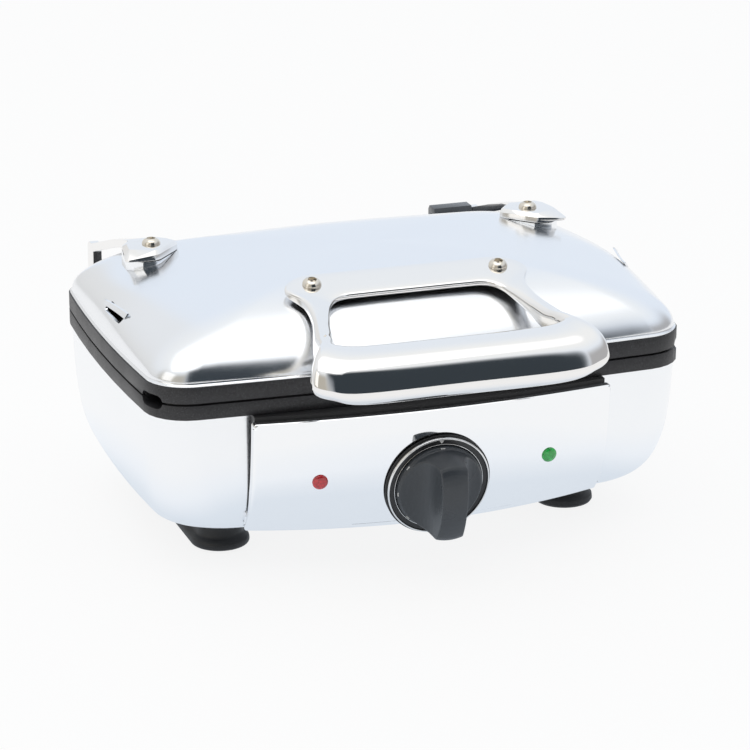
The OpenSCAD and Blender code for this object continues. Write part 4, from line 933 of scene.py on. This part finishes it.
# %% Print the marks
def dial_mark(name, corners, z0, z1, turn, body):
    """A small raised mark from its corners in the dial's plane, in millimetres."""
    clear_selection()
    bpy.ops.mesh.primitive_circle_add(vertices=len(corners), radius=0.01, fill_type="NGON")
    piece = bpy.context.object
    for v, (x, y) in zip(piece.data.vertices, corners):
        v.co = (x * MM, y * MM, z0 * MM)
    edit(piece)
    bpy.ops.mesh.extrude_region_move(TRANSFORM_OT_translate={"value": (0, 0, (z1 - z0) * MM)})
    leave_edit()
    piece.data.transform(Matrix.Rotation(math.radians(turn), 4, "Z"))
    on_dial(piece)
    dress(piece, name, body, print_white)


pointer = [(-1.5, 27.55), (0, 25.45), (1.5, 27.55)]
dash = [(-1.15, 24.1), (-1.15, 23.45), (1.15, 23.45), (1.15, 24.1)]
dial_mark("ring_pointer", pointer, 2.2, 2.32, 0, "base")
for number, turn in enumerate((0, 53, 93, 133)):
    dial_mark(f"skirt_mark_{number}", dash, 4.6, 5.1, turn, "dial")

# %% [markdown]
# ## Parts that keep their form
#
# Castings, stamped brackets, feet and screws have the right form already. What a solid lacks is
# the small rounding that every real edge has, which is what catches the light. Each gets a copy
# with its edges rounded, and the copy stands for the solid.

# %% Round the edges
# Solid, rounding in millimetres, steps, body, slot and finish
soft_parts = [
    ("left_hinge_arm", 0.9, 4, "lid", "cast_steel", cast),
    ("right_hinge_arm", 0.9, 4, "lid", "cast_steel", cast),
    ("hinge_arm_seats", 0.5, 3, "lid", "cast_steel", soft_steel),
    ("handle_screws", 0.35, 3, "lid", "screw_steel", nickel),
    ("hinge_arm_screws", 0.35, 3, "lid", "screw_steel", nickel),
    ("upper_grid_plate", 0.5, 2, "lid", "nonstick", nonstick),
    ("lower_grid_plate", 0.5, 2, "base", "nonstick", nonstick),
    ("left_foot", 1.2, 3, "base", "rubber_foot", rubber),
    ("right_foot", 1.2, 3, "base", "rubber_foot", rubber),
    ("left_hinge_bracket", 0.4, 2, "base", "galvanised", plain_sheet),
    ("right_hinge_bracket", 0.4, 2, "base", "galvanised", plain_sheet),
    ("hinge_pins", 0.4, 2, "base", "zinc_steel", zinc),
    ("bracket_screws", 0.2, 2, "base", "zinc_steel", zinc),
    ("cord_gland", 0.4, 3, "base", "black_plastic", black_plastic),
    ("wire_cover", 0.5, 3, "lid", "slate_plastic", slate),
    ("power_lamp_lens", 0.2, 3, "base", "red_lens", red_lens),
    ("ready_lamp_lens", 0.2, 3, "base", "green_lens", green_lens),
    ("panel_liner", 0.4, 2, "base", "black_plastic", black_plastic),
]
for node, width, segments, body, slot, material in soft_parts:
    dress(softened_copy(node, width * MM, segments), f"soft_{node}", body, material, [node])

# %% [markdown]
# ## The studio
#
# Polished metal is mostly a picture of the room, so the room is made with as much care as the
# metal. The floor comes first. It scatters light as white board does and takes the shadow, and
# rays from the camera or from polished metal see it a little brighter. Close to the appliance
# those reflected rays find it slightly blue, as a white table looks in its own shade.

# %% Floor
floor_size, floor_drop = 8, 0.4 * MM
lit_share = 0.86
clear_selection()
bpy.ops.mesh.primitive_grid_add(
    x_subdivisions=8, y_subdivisions=8, size=floor_size, location=(0, 0, -floor_drop))
floor = bpy.context.object
floor.name = "studio_floor"
settle(floor)
floor_finish, tree, shader = new_material("studio floor", (0.9, 0.9, 0.9), roughness=0.6)
output = tree.nodes["Material Output"]
path = tree.nodes.new("ShaderNodeLightPath")
white = tree.nodes.new("ShaderNodeEmission")
reach = tree.nodes.new("ShaderNodeVectorMath")
reach.operation = "LENGTH"
half_w, half_d = cad_box[1][0], cad_box[1][1]
tree.links.new(place_of(tree, (1 / half_w, 1 / half_d, 1)), reach.inputs[0])
near = spread(tree, reach.outputs["Value"], 0.0, 1.0, 1.0, 1.6)
halo = blend_colors(tree, near, [
    (0.0, (0.78, 0.84, 0.91)), (0.4, (0.93, 0.96, 1.0)), (1.0, (1.0, 1.0, 1.0))])
tint = tree.nodes.new("ShaderNodeMix")
tint.data_type = "RGBA"
tint.inputs[7].default_value = (1, 1, 1, 1)
tree.links.new(path.outputs["Is Camera Ray"], tint.inputs[0])
tree.links.new(halo, tint.inputs[6])
tree.links.new(tint.outputs[2], white.inputs["Color"])
blend = tree.nodes.new("ShaderNodeMixShader")
seen = tree.nodes.new("ShaderNodeMath")
seen.operation = "MAXIMUM"
share = tree.nodes.new("ShaderNodeMath")
share.operation = "MULTIPLY"
share.inputs[1].default_value = lit_share
tree.links.new(path.outputs["Is Camera Ray"], seen.inputs[0])
tree.links.new(path.outputs["Is Glossy Ray"], seen.inputs[1])
tree.links.new(seen.outputs[0], share.inputs[0])
tree.links.new(share.outputs[0], blend.inputs["Fac"])
tree.links.new(shader.outputs[0], blend.inputs[1])
tree.links.new(white.outputs[0], blend.inputs[2])
tree.links.new(blend.outputs[0], output.inputs["Surface"])
floor.data.materials.append(floor_finish)
print("floor:", floor_size, "m wide")

# %% [markdown]
# ## The room round the table
#
# Large screens stand round the table, and the metal shows them with the gaps between. They are
# painted into the world by direction. `height` is a direction's angle above the horizon and
# `bearing` its angle from straight ahead, both in degrees. A screen covers a window of heights
# and bearings with soft edges. The camera itself sees plain white behind the appliance.

# %% Directions and soft windows
world = bpy.data.worlds.new("studio")
bpy.context.scene.world = world
world.use_nodes = True
tree = world.node_tree
tree.nodes.clear()
output = tree.nodes.new("ShaderNodeOutputWorld")
path = tree.nodes.new("ShaderNodeLightPath")
where = tree.nodes.new("ShaderNodeTexCoord")


def math_node(kind, first, second=None, third=None):
    """One step of arithmetic on the world's directions."""
    node = tree.nodes.new("ShaderNodeMath")
    node.operation = kind
    for socket, value in zip(node.inputs, (first, second, third)):
        if isinstance(value, (int, float)):
            socket.default_value = value
        elif value is not None:
            tree.links.new(value, socket)
    return node.outputs[0]


def ramp_between(value, low, high):
    """Rises smoothly from 0 to 1 as the value goes from low to high."""
    node = tree.nodes.new("ShaderNodeMapRange")
    node.interpolation_type = "SMOOTHSTEP"
    node.inputs["From Min"].default_value = low
    node.inputs["From Max"].default_value = high
    tree.links.new(value, node.inputs["Value"])
    return node.outputs["Result"]


def window(value, start, full, leave, end):
    """1 between full and leave, with soft edges out to start and end."""
    rise = ramp_between(value, start, full)
    fall = ramp_between(value, leave, end)
    return math_node("MULTIPLY", rise, math_node("SUBTRACT", 1.0, fall))


def add_screen(base, mask, color):
    """Lays a screen of one colour over the room."""
    node = tree.nodes.new("ShaderNodeMix")
    node.data_type = "RGBA"
    node.inputs[7].default_value = (*color, 1)
    tree.links.new(mask, node.inputs[0])
    tree.links.new(base, node.inputs[6])
    return node.outputs[2]


# %% Paint the screens
parts = tree.nodes.new("ShaderNodeSeparateXYZ")
tree.links.new(where.outputs["Generated"], parts.inputs[0])
degrees = 180 / math.pi
height = math_node("MULTIPLY", math_node("ARCSINE", parts.outputs["Z"]), degrees)
forward = math_node("MULTIPLY", parts.outputs["Y"], -1.0)
bearing = math_node("MULTIPLY", math_node("ARCTAN2", parts.outputs["X"], forward), degrees)

room = blend_colors(tree, math_node("MULTIPLY_ADD", height, 1 / 180, 0.5), [
    (0.0, (0.80, 0.82, 0.85)), (0.5, (0.84, 0.90, 0.98)), (0.7, (0.86, 0.92, 1.0)),
    (0.82, (0.97, 0.99, 1.0)), (1.0, (1.0, 1.0, 1.0))])
room = add_screen(room, ramp_between(height, 60, 68), (1.25, 1.25, 1.25))
# Heights, bearings, share and colour of each screen, from the first laid to the last
screens = [
    ((-30, -12, 8, 46), (-200, -181, -112, -84), 1.0, (0.66, 0.66, 0.655)),
    ((-10, 10, 50, 66), (-200, -181, -120, -60), 0.6, (0.93, 0.93, 0.92)),
    ((-30, -5, 34, 58), (-112, -86, -30, -14), 1.0, (0.52, 0.49, 0.43)),
    ((-30, -5, 16, 42), (28, 40, 100, 125), 1.0, (0.46, 0.46, 0.47)),
    ((-30, -10, 50, 62), (-28, -12, 26, 35), 1.0, (0.04, 0.05, 0.06)),
]
for heights, bearings, share, color in screens:
    mask = math_node("MULTIPLY", window(height, *heights), window(bearing, *bearings))
    room = add_screen(room, math_node("MULTIPLY", mask, share), color)
print("screens round the table:", len(screens))

# %% Show the room to everything but the camera
background = tree.nodes.new("ShaderNodeBackground")
tree.links.new(room, background.inputs["Color"])
plain = tree.nodes.new("ShaderNodeBackground")
plain.inputs["Color"].default_value = (1, 1, 1, 1)
choice = tree.nodes.new("ShaderNodeMixShader")
tree.links.new(path.outputs["Is Camera Ray"], choice.inputs["Fac"])
tree.links.new(background.outputs[0], choice.inputs[1])
tree.links.new(plain.outputs[0], choice.inputs[2])
tree.links.new(choice.outputs[0], output.inputs["Surface"])
print("nodes in the room:", len(tree.nodes))


# %% [markdown]
# ## Lamps and camera
#
# Two large, weak softboxes add a little direction to the light of the room. The camera stands
# far off with a long lens, in front, a little to the left and above.

# %% Lamps
def softbox(name, place, aim, size, watts):
    """A rectangular lamp that looks at a point."""
    data = bpy.data.lights.new(name, "AREA")
    data.shape = "RECTANGLE"
    data.size, data.size_y = size
    data.energy = watts
    lamp = bpy.data.objects.new(name, data)
    bpy.context.scene.collection.objects.link(lamp)
    lamp.location = place
    lamp.rotation_euler = (Vector(aim) - Vector(place)).to_track_quat("-Z", "Y").to_euler()
    print(f"{name}: {watts} W")


middle = (0, 0, 0.08)
softbox("top softbox", (-0.2, -0.3, 1.6), middle, (1.6, 1.2), 3)
softbox("left softbox", (-1.5, -0.5, 0.8), middle, (0.8, 1.2), 2)

# %% Camera
camera_dip, camera_turn = 18.851, -18.938
camera_data = bpy.data.cameras.new("camera")
camera_data.lens = 167.2
camera_data.sensor_width = 36
camera_data.clip_end = 20
camera = bpy.data.objects.new("camera", camera_data)
bpy.context.scene.collection.objects.link(camera)
camera.location = (-0.5996, -1.7567, 0.7057)
camera.rotation_euler = (math.radians(90 - camera_dip), 0, math.radians(camera_turn))
bpy.context.scene.camera = camera
bpy.context.scene.view_settings.view_transform = "Standard"
print("camera:", tuple(round(c, 3) for c in camera.location))
